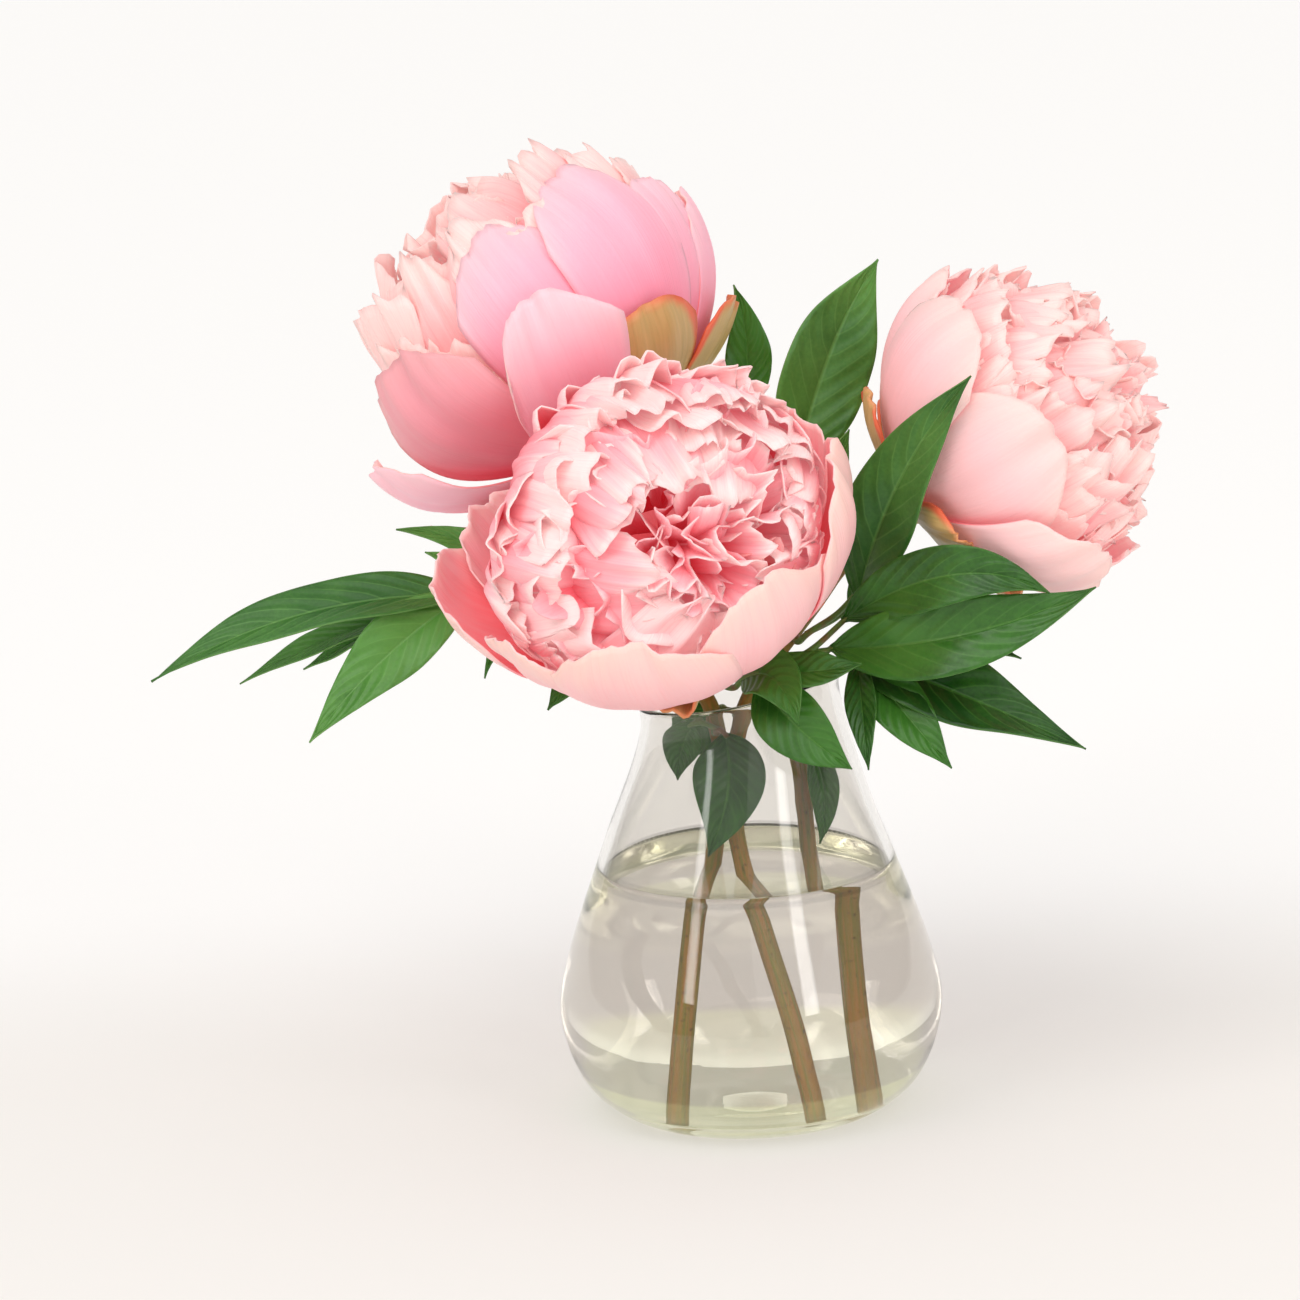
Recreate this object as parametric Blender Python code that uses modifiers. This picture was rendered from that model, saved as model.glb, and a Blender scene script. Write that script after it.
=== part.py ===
"""Three pink peonies standing in water in a clear conical glass vase, at real size.

The foot of the vase stands on z = 0 with its centre at the origin, and the arrangement's front
faces -Y. All sizes and places in this file are millimetres; MM turns them into metres where a
mesh is made. Every petal, sepal and leaflet is a thin blade that follows a formula, and the
blades of one bloom, calyx or leaf spray are fused into the one solid that they grow from.
"""
import math
import random
from dataclasses import dataclass

import bmesh
import bpy
from mathutils import Matrix, Quaternion, Vector

MM = 0.001
GAP = 0.35            # left between solids that rest on or grow from each other
WELD = 0.001          # vertices closer than this are one
SHARP_EDGE = math.radians(50.0)

# Vase: outer wall as (radius, height) from the foot to the neck, before the mouth is slanted.
VASE_WALL = ((37.5, 0.0), (43.0, 3.2), (49.5, 9.5), (54.4, 20.0), (56.2, 33.0), (52.4, 50.0),
             (44.6, 72.5), (36.4, 95.0), (31.6, 110.0), (29.3, 120.0), (29.4, 126.5))
WALL_STEPS = 11
TURN_STEPS = 36
GLASS_THICKNESS = 2.5
FLOOR_THICKNESS = 5.6
FLOOR_CURVE = ((-9.0, 0.0), (-3.5, 1.2))    # from the wall's inner foot inwards, and up
FLOOR_CURVE_HEIGHT = 3.0
MOUTH_HEIGHT = 126.5
MOUTH_SLANT = math.radians(10.0)
SLANT_START = 84.0    # below this height the wall stays square to the axis
LIP_HEIGHT = 0.9
LIP_HALF_WIDTH = 0.6
WATER_LEVEL = 73.0

# Stems: radius, and how each one ends under its flower.
STEM_RADIUS = 2.9
STEM_FOOT = FLOOR_THICKNESS + 3.0 * GAP     # a leaning foot's lower edge dips
STEM_POINTS = 10
STEM_BEVEL_RESOLUTION = 3
FLOWER_DROP = 11.4    # how far below its bloom's base a stem ends
STEM_STRAIGHT = 9.0   # the length just under it that runs along the bloom's axis
HOLE_POINTS = 6       # points of a stem that its hole in the water follows
HOLE_OVERRUN = 6.0    # how far a hole runs on past the stem's foot

# Bloom: the bowl that guard petals and sepals follow.
BOWL_RADIUS = 54.0
BOWL_DEPTH = 42.0
PETAL_THICKNESS = 0.8
PETAL_GRID = (3, 4)       # cells along and across
PETAL_ROOT_ANGLE = 0.08
PETAL_ROOT_WIDTH = 0.12   # as a share of the petal's width
PETAL_SWELL = (0.02, 0.72)    # stretch of a half wave that the width follows, root to rim
PETAL_RIM_ROUNDING = 0.17     # how much shorter a petal is at its sides
PETAL_CUPPING = 2.0       # how far an inner petal's edges turn in
PETAL_WAVE = 0.5
PETAL_WAVES = 3.0

# Bloom: the core in its heart, and the ruffled petals that rise from it in rings.
CORE_RADIUS = 29.0
CORE_HEIGHT = 33.5
CORE_MIDDLE = 31.0
CORE_SEGMENTS = (10, 6)
RUFFLE_RINGS = ((9.0, 3), (27.0, 5), (44.0, 6), (59.0, 6), (73.0, 7))   # polar angle, petals
RUFFLE_GRID = (1, 4)
RUFFLE_ROOT = 26.0
RUFFLE_SHARE = 0.86       # width of a ruffle as a share of its place in its ring
RUFFLE_LEAST_ANGLE = 0.22     # keeps the middle ruffles from shrinking away
RUFFLE_OUTER_LIMIT = 48.0     # keeps the lowest ruffles inside the guard petals
RUFFLE_ROOT_SPREAD = 0.4
RUFFLE_RIM_ROUNDING = 0.12
RUFFLE_WAVES = 2.5
RUFFLE_WAVE = (2.4, 3.6)      # least and most
RUFFLE_CURL = (-2.0, 3.0)
RUFFLE_LENGTH_DRAW = (-3.0, 2.0)
RUFFLE_TILT = 0.06
RUFFLE_TURN = 0.3

# Calyx: the turned stem head, as (radius, height) from its top down, and its sepals.
CALYX_HEAD = ((0.0, -2.9), (6.6, -2.9), (8.3, -4.2), (7.4, -6.2), (5.0, -8.4), (3.6, -11.0),
              (0.0, -11.0))
CALYX_TURN_STEPS = 14
SEPAL_THICKNESS = 1.0
SEPAL_LIFT = 4.6
SEPAL_GRID = (3, 2)
SEPAL_ROOT_WIDTH = 0.35

# Leaves.
LEAF_THICKNESS = 0.7
LEAF_GRID = (5, 2)
LEAF_FOLD = math.radians(20.0)
LEAF_BASE_POWER = 0.8     # how the outline swells from the root ...
LEAF_TIP_POWER = 1.25     # ... and draws in to the tip
LEAF_ROOT_WIDTH = 1.8
LEAF_WAVE = 0.045         # edge wave as a share of the width
LEAF_WAVES = 4.0
STALK_RADIUS = 1.2
STALK_POINTS = 4
STALK_START = 2.5         # a stalk leaves its stem square for this length
STALK_BEVEL_RESOLUTION = 1


@dataclass
class Petal:
    """A guard petal or sepal on its bloom's bowl; angles are degrees.

    azimuth runs round the bloom's axis from its upper side, reach is how far up the bowl's
    curve the rim comes, lean tips the petal open, lift sets it outside the bowl and sweep
    turns its rim on round the axis.
    """
    azimuth: float
    reach: float
    width: float
    lean: float = 0.0
    lift: float = 0.0
    sweep: float = 0.0


@dataclass
class Flower:
    """One peony: where its bloom sits and points, its size and what it is made of.

    heart is how far the ruffled petals rise from the middle of the core.
    """
    base: tuple
    axis: tuple
    size: float
    heart: float
    stem: tuple
    guards: tuple
    sepals: tuple
    seed: int


@dataclass
class Leaflet:
    """One pointed leaflet: root, middle and tip of its midrib, width, and where it faces."""
    midrib: tuple
    width: float
    face: tuple = (0.0, -0.6, 0.8)


@dataclass
class Spray:
    """A compound leaf: where it grows on which stem, its stalk's route and its leaflets.

    heading is the way out of the stem, in degrees round from +X towards +Y.
    """
    stem: str
    height: float
    heading: float
    stalk: tuple
    leaflets: tuple
    color: tuple
    side_stalks: tuple = ()


FLOWERS = {
    "left": Flower(
        base=(-29, 43, 196), axis=(-0.58, 0.30, 0.75), size=1.0, heart=56.0,
        stem=((22, 14, STEM_FOOT), (19, 15.5, 73), (17, 16, 101), (12.5, 18, 125), (-6, 28, 154)),
        guards=(Petal(-60, 124, 46), Petal(-86, 96, 42, lean=8, lift=3.2, sweep=24),
                Petal(-24, 126, 46, lift=1.6), Petal(6, 108, 40), Petal(36, 98, 42, lift=1.6),
                Petal(76, 104, 50), Petal(120, 104, 50, lift=1.6), Petal(162, 100, 42),
                Petal(-108, 122, 52, lean=12),
                Petal(-146, 106, 42, lean=16, lift=1.6), Petal(-174, 92, 30, lean=24, lift=3.2)),
        sepals=(Petal(-32, 64, 40, lean=3), Petal(26, 54, 32, lean=5), Petal(110, 50, 30, lean=6),
                Petal(-150, 60, 32, lean=16)),
        seed=11),
    "front": Flower(
        base=(-17, -12.5, 147.5), axis=(-0.18, -0.52, 0.84), size=1.08, heart=46.0,
        stem=((14.5, -16, STEM_FOOT), (-0.5, -12.5, 73), (-4.5, -10, 101), (-8, -8, 121)),
        guards=(Petal(190, 102, 54, lift=1.6), Petal(235, 106, 52), Petal(283, 110, 50, lift=1.6),
                Petal(326, 88, 44), Petal(6, 68, 44, lift=1.6), Petal(46, 66, 44),
                Petal(80, 80, 40, lift=1.6), Petal(111, 96, 48, lean=7), Petal(152, 92, 38)),
        sepals=(Petal(196, 40, 26), Petal(290, 48, 28, lean=3), Petal(20, 46, 26, lean=6),
                Petal(110, 46, 26, lean=3)),
        seed=23),
    "right": Flower(
        base=(54.5, 4.5, 181), axis=(0.84, -0.05, 0.54), size=0.92, heart=47.0,
        stem=((-17, 0, STEM_FOOT), (-10, 0, 71), (-3, 0, 103), (4, 0.5, 125), (24, 3, 151)),
        guards=(Petal(38, 104, 50, lift=1.6), Petal(88, 106, 54), Petal(133, 100, 50, lean=6, lift=1.6),
                Petal(180, 100, 46), Petal(225, 102, 48, lift=1.6), Petal(270, 104, 48),
                Petal(315, 104, 46, lift=1.6), Petal(358, 100, 46)),
        sepals=(Petal(28, 48, 26, lean=4), Petal(106, 50, 24, lean=4), Petal(154, 52, 32, lean=5),
                Petal(220, 46, 28, lean=6), Petal(300, 46, 26, lean=6)),
        seed=37),
}

LEAF_LIGHT = (0.10, 0.30, 0.07, 1.0)
LEAF_MID = (0.05, 0.20, 0.035, 1.0)
LEAF_DARK = (0.02, 0.10, 0.015, 1.0)

SPRAYS = {
    "left_leaf_spray": Spray(
        stem="left", height=152, heading=190, color=LEAF_LIGHT,
        stalk=((-22, 27, 154.5), (-40, 18, 156), (-62, 8, 157), (-80, 0, 157)),
        side_stalks=(((-79, 0.5, 157), (-90, 0, 155), (-100, 1.5, 150.5)),),
        leaflets=(Leaflet(((-77, 1, 157), (-126, -9, 155.5), (-170, -16, 139)), 20, (0.1, -0.5, 0.85)),
                  Leaflet(((-96, 1, 152), (-121, 4, 144), (-146, 4, 133)), 10, (0.2, -0.5, 0.8)),
                  Leaflet(((-97, 1, 151), (-112, 6, 143), (-127, 8, 135)), 8, (0.3, -0.4, 0.8)),
                  Leaflet(((-79, 0, 156.5), (-102, -14, 143), (-125, -24, 121)), 21, (0.1, -0.8, 0.6)),
                  Leaflet(((-70, 4.5, 156.5), (-78, 8, 163), (-90, 10, 168)), 10, (0.4, -0.7, 0.6)),
                  Leaflet(((-58, 10, 156.5), (-76, 17, 168), (-98, 15, 174.5)), 10, (0.1, -0.8, 0.5)))),
    "low_left_leaf_spray": Spray(
        stem="left", height=133, heading=185, color=LEAF_DARK,
        stalk=((-2, 22, 135), (-20, 16, 137), (-38, 8, 139), (-56, 4, 142)),
        side_stalks=(((-26, 13, 137.8), (-34, 4, 138), (-38, -2, 137)),),
        leaflets=(Leaflet(((-53, 4.5, 141.5), (-66, 4, 144), (-74, 0, 132)), 8),
                  Leaflet(((-35, 1, 137.5), (-46, -9, 134.5), (-56, -16, 126)), 14),
                  Leaflet(((-22, 14, 137.3), (-32, 4, 133), (-40, -4, 124)), 12))),
    "rear_leaf_spray": Spray(
        stem="right", height=149, heading=95, color=LEAF_LIGHT,
        stalk=((24, 12, 153), (21, 20, 166), (19, 22, 188)),
        side_stalks=(((21.5, 19.5, 165), (25, 15, 173), (27, 12, 178)),),
        leaflets=(Leaflet(((19, 22, 185), (31, 30, 219), (46, 32, 245)), 29, (0.3, -0.9, 0.2)),
                  Leaflet(((26.5, 13, 177), (30, 10, 188), (35, 8, 200)), 10, (0.2, -0.9, 0.2)))),
    "tall_leaf_spray": Spray(
        stem="right", height=141, heading=-60, color=LEAF_MID,
        stalk=((21, -5, 143), (29, -5, 148), (35, -5, 154)),
        side_stalks=(((20, -4.5, 142.5), (28, 0, 145), (34, 1, 149)),),
        leaflets=(Leaflet(((35.5, -5, 152), (47.5, -27, 191), (68, -50, 226)), 24, (-0.35, -0.9, 0.2)),
                  Leaflet(((33, 1, 148), (41, -1, 156), (47, -6, 165)), 13, (0.3, -0.7, 0.6)))),
    "right_leaf_spray": Spray(
        stem="right", height=133, heading=-75, color=LEAF_MID,
        stalk=((15, -8, 135), (22, -12, 140), (29, -12, 146), (34, -14, 151)),
        side_stalks=(((20, -11, 138.5), (26, -13, 139.5), (30, -14, 141)),),
        leaflets=(Leaflet(((31, -12.5, 148), (62, -38, 166), (89, -40, 160)), 19, (0.0, -0.95, 0.3)),
                  Leaflet(((27, -13.3, 140), (65, -36, 148), (103, -35, 160)), 24, (0.0, -0.95, 0.3)),
                  Leaflet(((27, -13.3, 139.5), (55, -24, 144), (81, -33, 139.5)), 15, (0.0, -0.7, 0.7)))),
    "low_right_leaf_spray": Spray(
        stem="left", height=123, heading=-45, color=LEAF_MID,
        stalk=((20, 10, 128), (30, -1, 138.5), (36, -12, 136)),
        leaflets=(Leaflet(((34, -9, 136.5), (63, -22, 127), (99, -30, 111)), 25, (0.1, -0.8, 0.6)),
                  Leaflet(((35, -12, 136), (47, -26, 123), (60, -34, 108)), 18, (0.1, -0.9, 0.4)),
                  Leaflet(((34.5, -11, 136), (35, -29, 124), (36, -36, 109)), 10, (-0.3, -0.9, 0.3)))),
    "mouth_leaf_spray": Spray(
        stem="front", height=126, heading=-45, color=LEAF_DARK,
        stalk=((-2, -16, 130), (1, -22, 134), (6, -27, 137)),
        side_stalks=(((-0.5, -18, 132), (3, -25, 134), (7, -30, 133)),),
        leaflets=(Leaflet(((1, -21, 134), (10, -34, 136), (16, -43, 125)), 18, (-0.1, -0.8, 0.6)),
                  Leaflet(((4, -24, 136), (20, -33, 138), (35, -34, 140)), 14, (0.0, -0.7, 0.7)),
                  Leaflet(((5, -27.5, 133.6), (17, -38, 122), (31, -38, 110)), 20, (-0.1, -0.95, 0.2)))),
    "neck_leaf_spray": Spray(
        stem="front", height=116, heading=-90, color=LEAF_MID,
        stalk=((-6, -16.5, 118), (-4, -18.5, 116)),
        side_stalks=(((-6.5, -15, 117.8), (-11, -15, 120), (-15, -13, 119)),),
        leaflets=(Leaflet(((-5, -17.5, 117), (-4.5, -21, 101), (-11, -21.5, 81)), 22, (0.0, -1.0, 0.1)),
                  Leaflet(((-13.5, -13.5, 119.5), (-17, -11.5, 112), (-19, -9, 101)), 12,
                          (-0.2, -1.0, 0.1)))),
    "neck_back_leaf": Spray(
        stem="right", height=118, heading=180, color=LEAF_DARK,
        stalk=((-5, 2, 120), (-7.5, 3.5, 119)),
        leaflets=(Leaflet(((-6, 3, 119.5), (-14, 5, 112), (-22, 7, 103)), 16, (0.0, -0.9, 0.3)),)),
    "stem_leaf": Spray(
        stem="left", height=106, heading=-35, color=LEAF_MID,
        stalk=((21, 11, 108), (22, 10.5, 105)),
        leaflets=(Leaflet(((21.5, 10.5, 106.5), (24, 7, 91), (22, 6, 76.5)), 10, (0.2, -0.95, 0.0)),)),
    "back_leaf_spray": Spray(
        stem="left", height=165, heading=40, color=LEAF_DARK,
        stalk=((-6, 41, 169), (1, 50, 182), (4, 56, 200)),
        leaflets=(Leaflet(((3.5, 54, 195), (7, 60, 214), (4, 60, 234)), 15, (0.2, -0.9, 0.2)),)),
}


def smooth_path(points, count):
    """Return count points along one smooth curve that passes through the given points."""
    knots = [Vector(point) for point in points]
    knots = [2 * knots[0] - knots[1]] + knots + [2 * knots[-1] - knots[-2]]
    spans = len(knots) - 3
    path = []
    for step in range(count):
        place = spans * step / (count - 1)
        span = min(int(place), spans - 1)
        s = place - span
        before, start, end, after = knots[span:span + 4]
        path.append(0.5 * (2 * start + (end - before) * s
                           + (2 * before - 5 * start + 4 * end - after) * s ** 2
                           + (3 * start - 3 * end + after - before) * s ** 3))
    return path


def smooth_step(value):
    """Ease from 0 to 1."""
    value = min(max(value, 0.0), 1.0)
    return value * value * (3.0 - 2.0 * value)


def make_material(name, color, roughness, alpha=1.0):
    """Return a plain Principled material."""
    material = bpy.data.materials.new(name)
    material.use_nodes = True
    shader = material.node_tree.nodes["Principled BSDF"]
    shader.inputs["Base Color"].default_value = color
    shader.inputs["Roughness"].default_value = roughness
    shader.inputs["Metallic"].default_value = 0.0
    shader.inputs["Alpha"].default_value = alpha
    material.diffuse_color = (*color[:3], alpha)
    return material


def link(name, data, collection, material=None):
    """Make an object of the data in a collection."""
    item = bpy.data.objects.new(name, data)
    collection.objects.link(item)
    if material is not None:
        data.materials.append(material)
    return item


def baked(item):
    """Return a new mesh of an object with its modifiers applied."""
    bpy.context.view_layer.update()
    depsgraph = bpy.context.evaluated_depsgraph_get()
    return bpy.data.meshes.new_from_object(item.evaluated_get(depsgraph))


def remove_object(item):
    """Remove an object and the data that it alone used."""
    data = item.data
    bpy.data.objects.remove(item)
    if isinstance(data, bpy.types.Mesh):
        bpy.data.meshes.remove(data)
    else:
        bpy.data.curves.remove(data)


def mesh_from(bm, name):
    """Turn a bmesh in millimetres into a mesh in metres."""
    bmesh.ops.scale(bm, vec=(MM, MM, MM), verts=bm.verts)
    mesh = bpy.data.meshes.new(name)
    bm.to_mesh(mesh)
    bm.free()
    return mesh


def turned(name, profile, steps, collection, material=None):
    """Turn a profile of (radius, height) points, inside first, about Z into a closed solid."""
    bm = bmesh.new()
    verts = [bm.verts.new((radius, 0.0, height)) for radius, height in profile]
    for start, end in zip(verts, verts[1:]):
        bm.edges.new((start, end))
    item = link(name, mesh_from(bm, name), collection, material)
    screw = item.modifiers.new("turn", "SCREW")
    screw.axis = "Z"
    screw.steps = steps
    screw.render_steps = steps
    screw.use_merge_vertices = True
    screw.merge_threshold = WELD * MM
    mesh = baked(item)
    remove_object(item)
    item = link(name, mesh, collection)
    return item


def tube(name, path, radius, resolution, collection, material=None):
    """Make a round tube with closed ends along a path."""
    curve = bpy.data.curves.new(name, "CURVE")
    curve.dimensions = "3D"
    curve.bevel_depth = radius * MM
    curve.bevel_resolution = resolution
    curve.use_fill_caps = True
    spline = curve.splines.new("POLY")
    spline.points.add(len(path) - 1)
    for point, place in zip(spline.points, path):
        point.co = (*(Vector(place) * MM), 1.0)
    guide = link(name + "_guide", curve, collection)
    mesh = baked(guide)
    remove_object(guide)
    bm = bmesh.new()
    bm.from_mesh(mesh)
    bmesh.ops.remove_doubles(bm, verts=bm.verts, dist=WELD * MM)
    bm.to_mesh(mesh)
    bm.free()
    return link(name, mesh, collection, material)


def blade(name, shape, grid, thickness, collection):
    """Make a thin closed blade whose middle surface is shape(across -1..1, along 0..1)."""
    rows, columns = grid
    bm = bmesh.new()
    bmesh.ops.create_grid(bm, x_segments=rows, y_segments=columns, size=1.0)
    for vert in bm.verts:
        vert.co = shape(vert.co.y, (vert.co.x + 1.0) / 2.0)
    bmesh.ops.remove_doubles(bm, verts=bm.verts, dist=WELD)
    bmesh.ops.triangulate(bm, faces=bm.faces)
    item = link(name, mesh_from(bm, name), collection)
    solidify = item.modifiers.new("thickness", "SOLIDIFY")
    solidify.thickness = thickness * MM
    solidify.offset = 0.0
    return item


def largest_body(bm):
    """Delete all but the largest connected body: loose scraps and the walls of sealed hollows."""
    unseen = set(bm.faces)
    bodies = []
    while unseen:
        body = {unseen.pop()}
        front = list(body)
        while front:
            face = front.pop()
            for edge in face.edges:
                for neighbour in edge.link_faces:
                    if neighbour in unseen:
                        unseen.remove(neighbour)
                        body.add(neighbour)
                        front.append(neighbour)
        bodies.append(body)
    largest = max(bodies, key=lambda faces: sum(face.calc_area() for face in faces))
    scraps = [face for body in bodies if body is not largest for face in body]
    bmesh.ops.delete(bm, geom=scraps, context="FACES")


def turn_shared_cuts(bm):
    """Where two flat faces were both cut between the same two corners, turn one of the cuts."""
    for edge in [edge for edge in bm.edges if len(edge.link_faces) > 2]:
        start, end = edge.verts
        loop = edge.link_loops[0]
        if loop.vert is not start:
            start, end = end, start
        first = loop.face
        facing = [other.face for other in edge.link_loops if other.vert is end]
        second = max(facing, key=lambda face: face.normal.dot(first.normal))
        near = next(vert for vert in first.verts if vert not in edge.verts)
        far = next(vert for vert in second.verts if vert not in edge.verts)
        bmesh.ops.delete(bm, geom=[first, second], context="FACES_ONLY")
        bm.faces.new((near, start, far))
        bm.faces.new((far, end, near))


def clean_body(mesh):
    """Leave one closed outer body of triangles."""
    bm = bmesh.new()
    bm.from_mesh(mesh)
    largest_body(bm)
    bmesh.ops.triangulate(bm, faces=bm.faces)
    turn_shared_cuts(bm)
    bm.to_mesh(mesh)
    bm.free()


def fuse(name, root, pieces, collection, material):
    """Union a root solid with every solid in the pieces collection, as one object."""
    union = root.modifiers.new("fuse", "BOOLEAN")
    union.operation = "UNION"
    union.operand_type = "COLLECTION"
    union.collection = pieces
    union.solver = "MANIFOLD"
    mesh = baked(root)
    mesh.name = name
    remove_object(root)
    for piece in list(pieces.objects):
        remove_object(piece)
    bpy.data.collections.remove(pieces)
    clean_body(mesh)
    mesh.materials.clear()
    return link(name, mesh, collection, material)


def new_collection(name):
    """Make a collection in the scene."""
    collection = bpy.data.collections.new(name)
    bpy.context.scene.collection.children.link(collection)
    return collection


def wall_profile(points, inset):
    """Offset a smooth wall line inwards, square to itself, by the inset."""
    wall = smooth_path([(radius, 0.0, height) for radius, height in points], WALL_STEPS)
    line = []
    for index, point in enumerate(wall):
        ahead = wall[min(index + 1, len(wall) - 1)]
        behind = wall[max(index - 1, 0)]
        run = (ahead - behind).normalized()
        line.append((point.x - run.z * inset, point.z + run.x * inset))
    return line


def inner_profile(inset, floor, ceiling):
    """Return the inner wall from the floor's middle outwards and up to the ceiling."""
    wall = [(radius, height) for radius, height in wall_profile(VASE_WALL, inset)
            if floor + FLOOR_CURVE_HEIGHT < height < ceiling]
    curve = [(wall[0][0] + inwards, floor + up) for inwards, up in FLOOR_CURVE]
    return [(0.0, floor)] + curve + wall


def slanted(mesh):
    """Slant the mouth: the wall above SLANT_START leans up towards +X."""
    for vert in mesh.vertices:
        x, height = vert.co.x, vert.co.z / MM
        share = smooth_step((height - SLANT_START) / (MOUTH_HEIGHT - SLANT_START))
        vert.co.z += x * math.tan(MOUTH_SLANT) * share


def make_vase(collection):
    """Blow the vase: inner wall, rounded lip and outer wall in one turned profile."""
    inner = inner_profile(GLASS_THICKNESS, FLOOR_THICKNESS, MOUTH_HEIGHT - LIP_HALF_WIDTH)
    outer = wall_profile(VASE_WALL, 0.0)
    lip_middle = outer[-1][0] - GLASS_THICKNESS / 2.0
    lip = [(lip_middle + side, MOUTH_HEIGHT + LIP_HEIGHT) for side in (-LIP_HALF_WIDTH, LIP_HALF_WIDTH)]
    profile = inner + lip + outer[::-1] + [(0.0, 0.0)]
    glass = make_material("clear_glass", (0.93, 0.93, 0.91, 1.0), 0.03, alpha=0.3)
    vase = turned("vase", profile, TURN_STEPS, collection)
    slanted(vase.data)
    vase.data.materials.append(glass)
    vase.data.shade_smooth()
    vase.data.set_sharp_from_angle(angle=SHARP_EDGE)
    return vase


def stem_path(flower):
    """Return the stem's line from its foot in the vase to just under its calyx."""
    axis = Vector(flower.axis).normalized()
    top = Vector(flower.base) - FLOWER_DROP * flower.size * axis
    return smooth_path(list(flower.stem) + [top - STEM_STRAIGHT * axis], STEM_POINTS) + [top]


def stem_side(flower, height, heading):
    """Return the point beside a stem where a stalk starts, and its way out, square to the stem."""
    heading = math.radians(heading)
    path = stem_path(flower)
    below, above = next(pair for pair in zip(path, path[1:]) if pair[0].z <= height <= pair[1].z)
    run = (above - below).normalized()
    out = Vector((math.cos(heading), math.sin(heading), 0.0))
    out = (out - run * out.dot(run)).normalized()
    place = below.lerp(above, (height - below.z) / (above.z - below.z))
    return place + out * (STEM_RADIUS + GAP), out


def make_water(collection, cutters):
    """Fill the vase to its level and bore a plain hole for each stem."""
    inset = GLASS_THICKNESS + GAP
    wall = wall_profile(VASE_WALL, inset)
    below, above = next(pair for pair in zip(wall, wall[1:]) if pair[1][1] > WATER_LEVEL)
    share = (WATER_LEVEL - below[1]) / (above[1] - below[1])
    rim = below[0] + (above[0] - below[0]) * share
    profile = inner_profile(inset, FLOOR_THICKNESS + GAP, WATER_LEVEL - FLOOR_CURVE_HEIGHT)
    profile += [(rim, WATER_LEVEL), (0.0, WATER_LEVEL)]
    clear = make_material("clear_water", (0.86, 0.86, 0.82, 1.0), 0.02, alpha=0.3)
    water = turned("water", profile[::-1], TURN_STEPS, collection)
    water.data.materials.append(clear)
    for name, flower in FLOWERS.items():
        path = stem_path(flower)
        run = (path[0] - path[1]).normalized()
        hole = tube(name + "_stem_hole", [path[0] + HOLE_OVERRUN * run] + path[:HOLE_POINTS],
                    STEM_RADIUS + GAP, STEM_BEVEL_RESOLUTION, cutters)
        hole.hide_render = True
        hole.display_type = "WIRE"
    cut = water.modifiers.new("stem_holes", "BOOLEAN")
    cut.operation = "DIFFERENCE"
    cut.operand_type = "COLLECTION"
    cut.collection = cutters
    return water


def bloom_frame(flower):
    """Return the matrix of a bloom: +Z along its axis and +X on its upper side."""
    axis = Vector(flower.axis).normalized()
    upper = (Vector((0.0, 0.0, 1.0)) - axis * axis.z).normalized()
    side = axis.cross(upper)
    frame = Matrix((upper, side, axis)).transposed().to_4x4()
    frame.translation = Vector(flower.base) * MM
    return frame


def petal_shape(petal, size, root_width, cupping=0.0, wave=0.0, phase=0.0):
    """Return the surface of a petal or sepal that hugs the bowl and may lean open."""
    wide = BOWL_RADIUS + petal.lift
    deep = BOWL_DEPTH + petal.lift
    reach = math.radians(petal.reach)
    pivot = Vector((wide * math.sin(PETAL_ROOT_ANGLE), 0.0, -petal.lift))
    swell_start, swell_end = PETAL_SWELL

    def surface(across, along):
        up = along * (1.0 - PETAL_RIM_ROUNDING * across * across)
        angle = PETAL_ROOT_ANGLE + (reach - PETAL_ROOT_ANGLE) * up
        radius = wide * math.sin(angle)
        height = deep * (1.0 - math.cos(angle)) - petal.lift
        inward = Vector((-deep * math.sin(angle), 0.0, wide * math.cos(angle))).normalized()
        swell = math.sin(math.pi * (swell_start + (swell_end - swell_start) * up))
        half = petal.width / 2.0 * max(swell, root_width)
        wrap = max(radius, half)
        bend = across * half / wrap
        point = Vector((radius - wrap * (1.0 - math.cos(bend)), wrap * math.sin(bend), height))
        point += inward * (cupping * across * across * up)
        point += inward * (wave * up * up * math.sin(PETAL_WAVES * math.pi * across + phase))
        lean = Quaternion((0.0, 1.0, 0.0), math.radians(petal.lean) * smooth_step(along * 1.2))
        turn = Quaternion((0.0, 0.0, 1.0), math.radians(petal.azimuth + petal.sweep * along))
        return size * (turn @ (pivot + lean @ (point - pivot)))

    return surface


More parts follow.
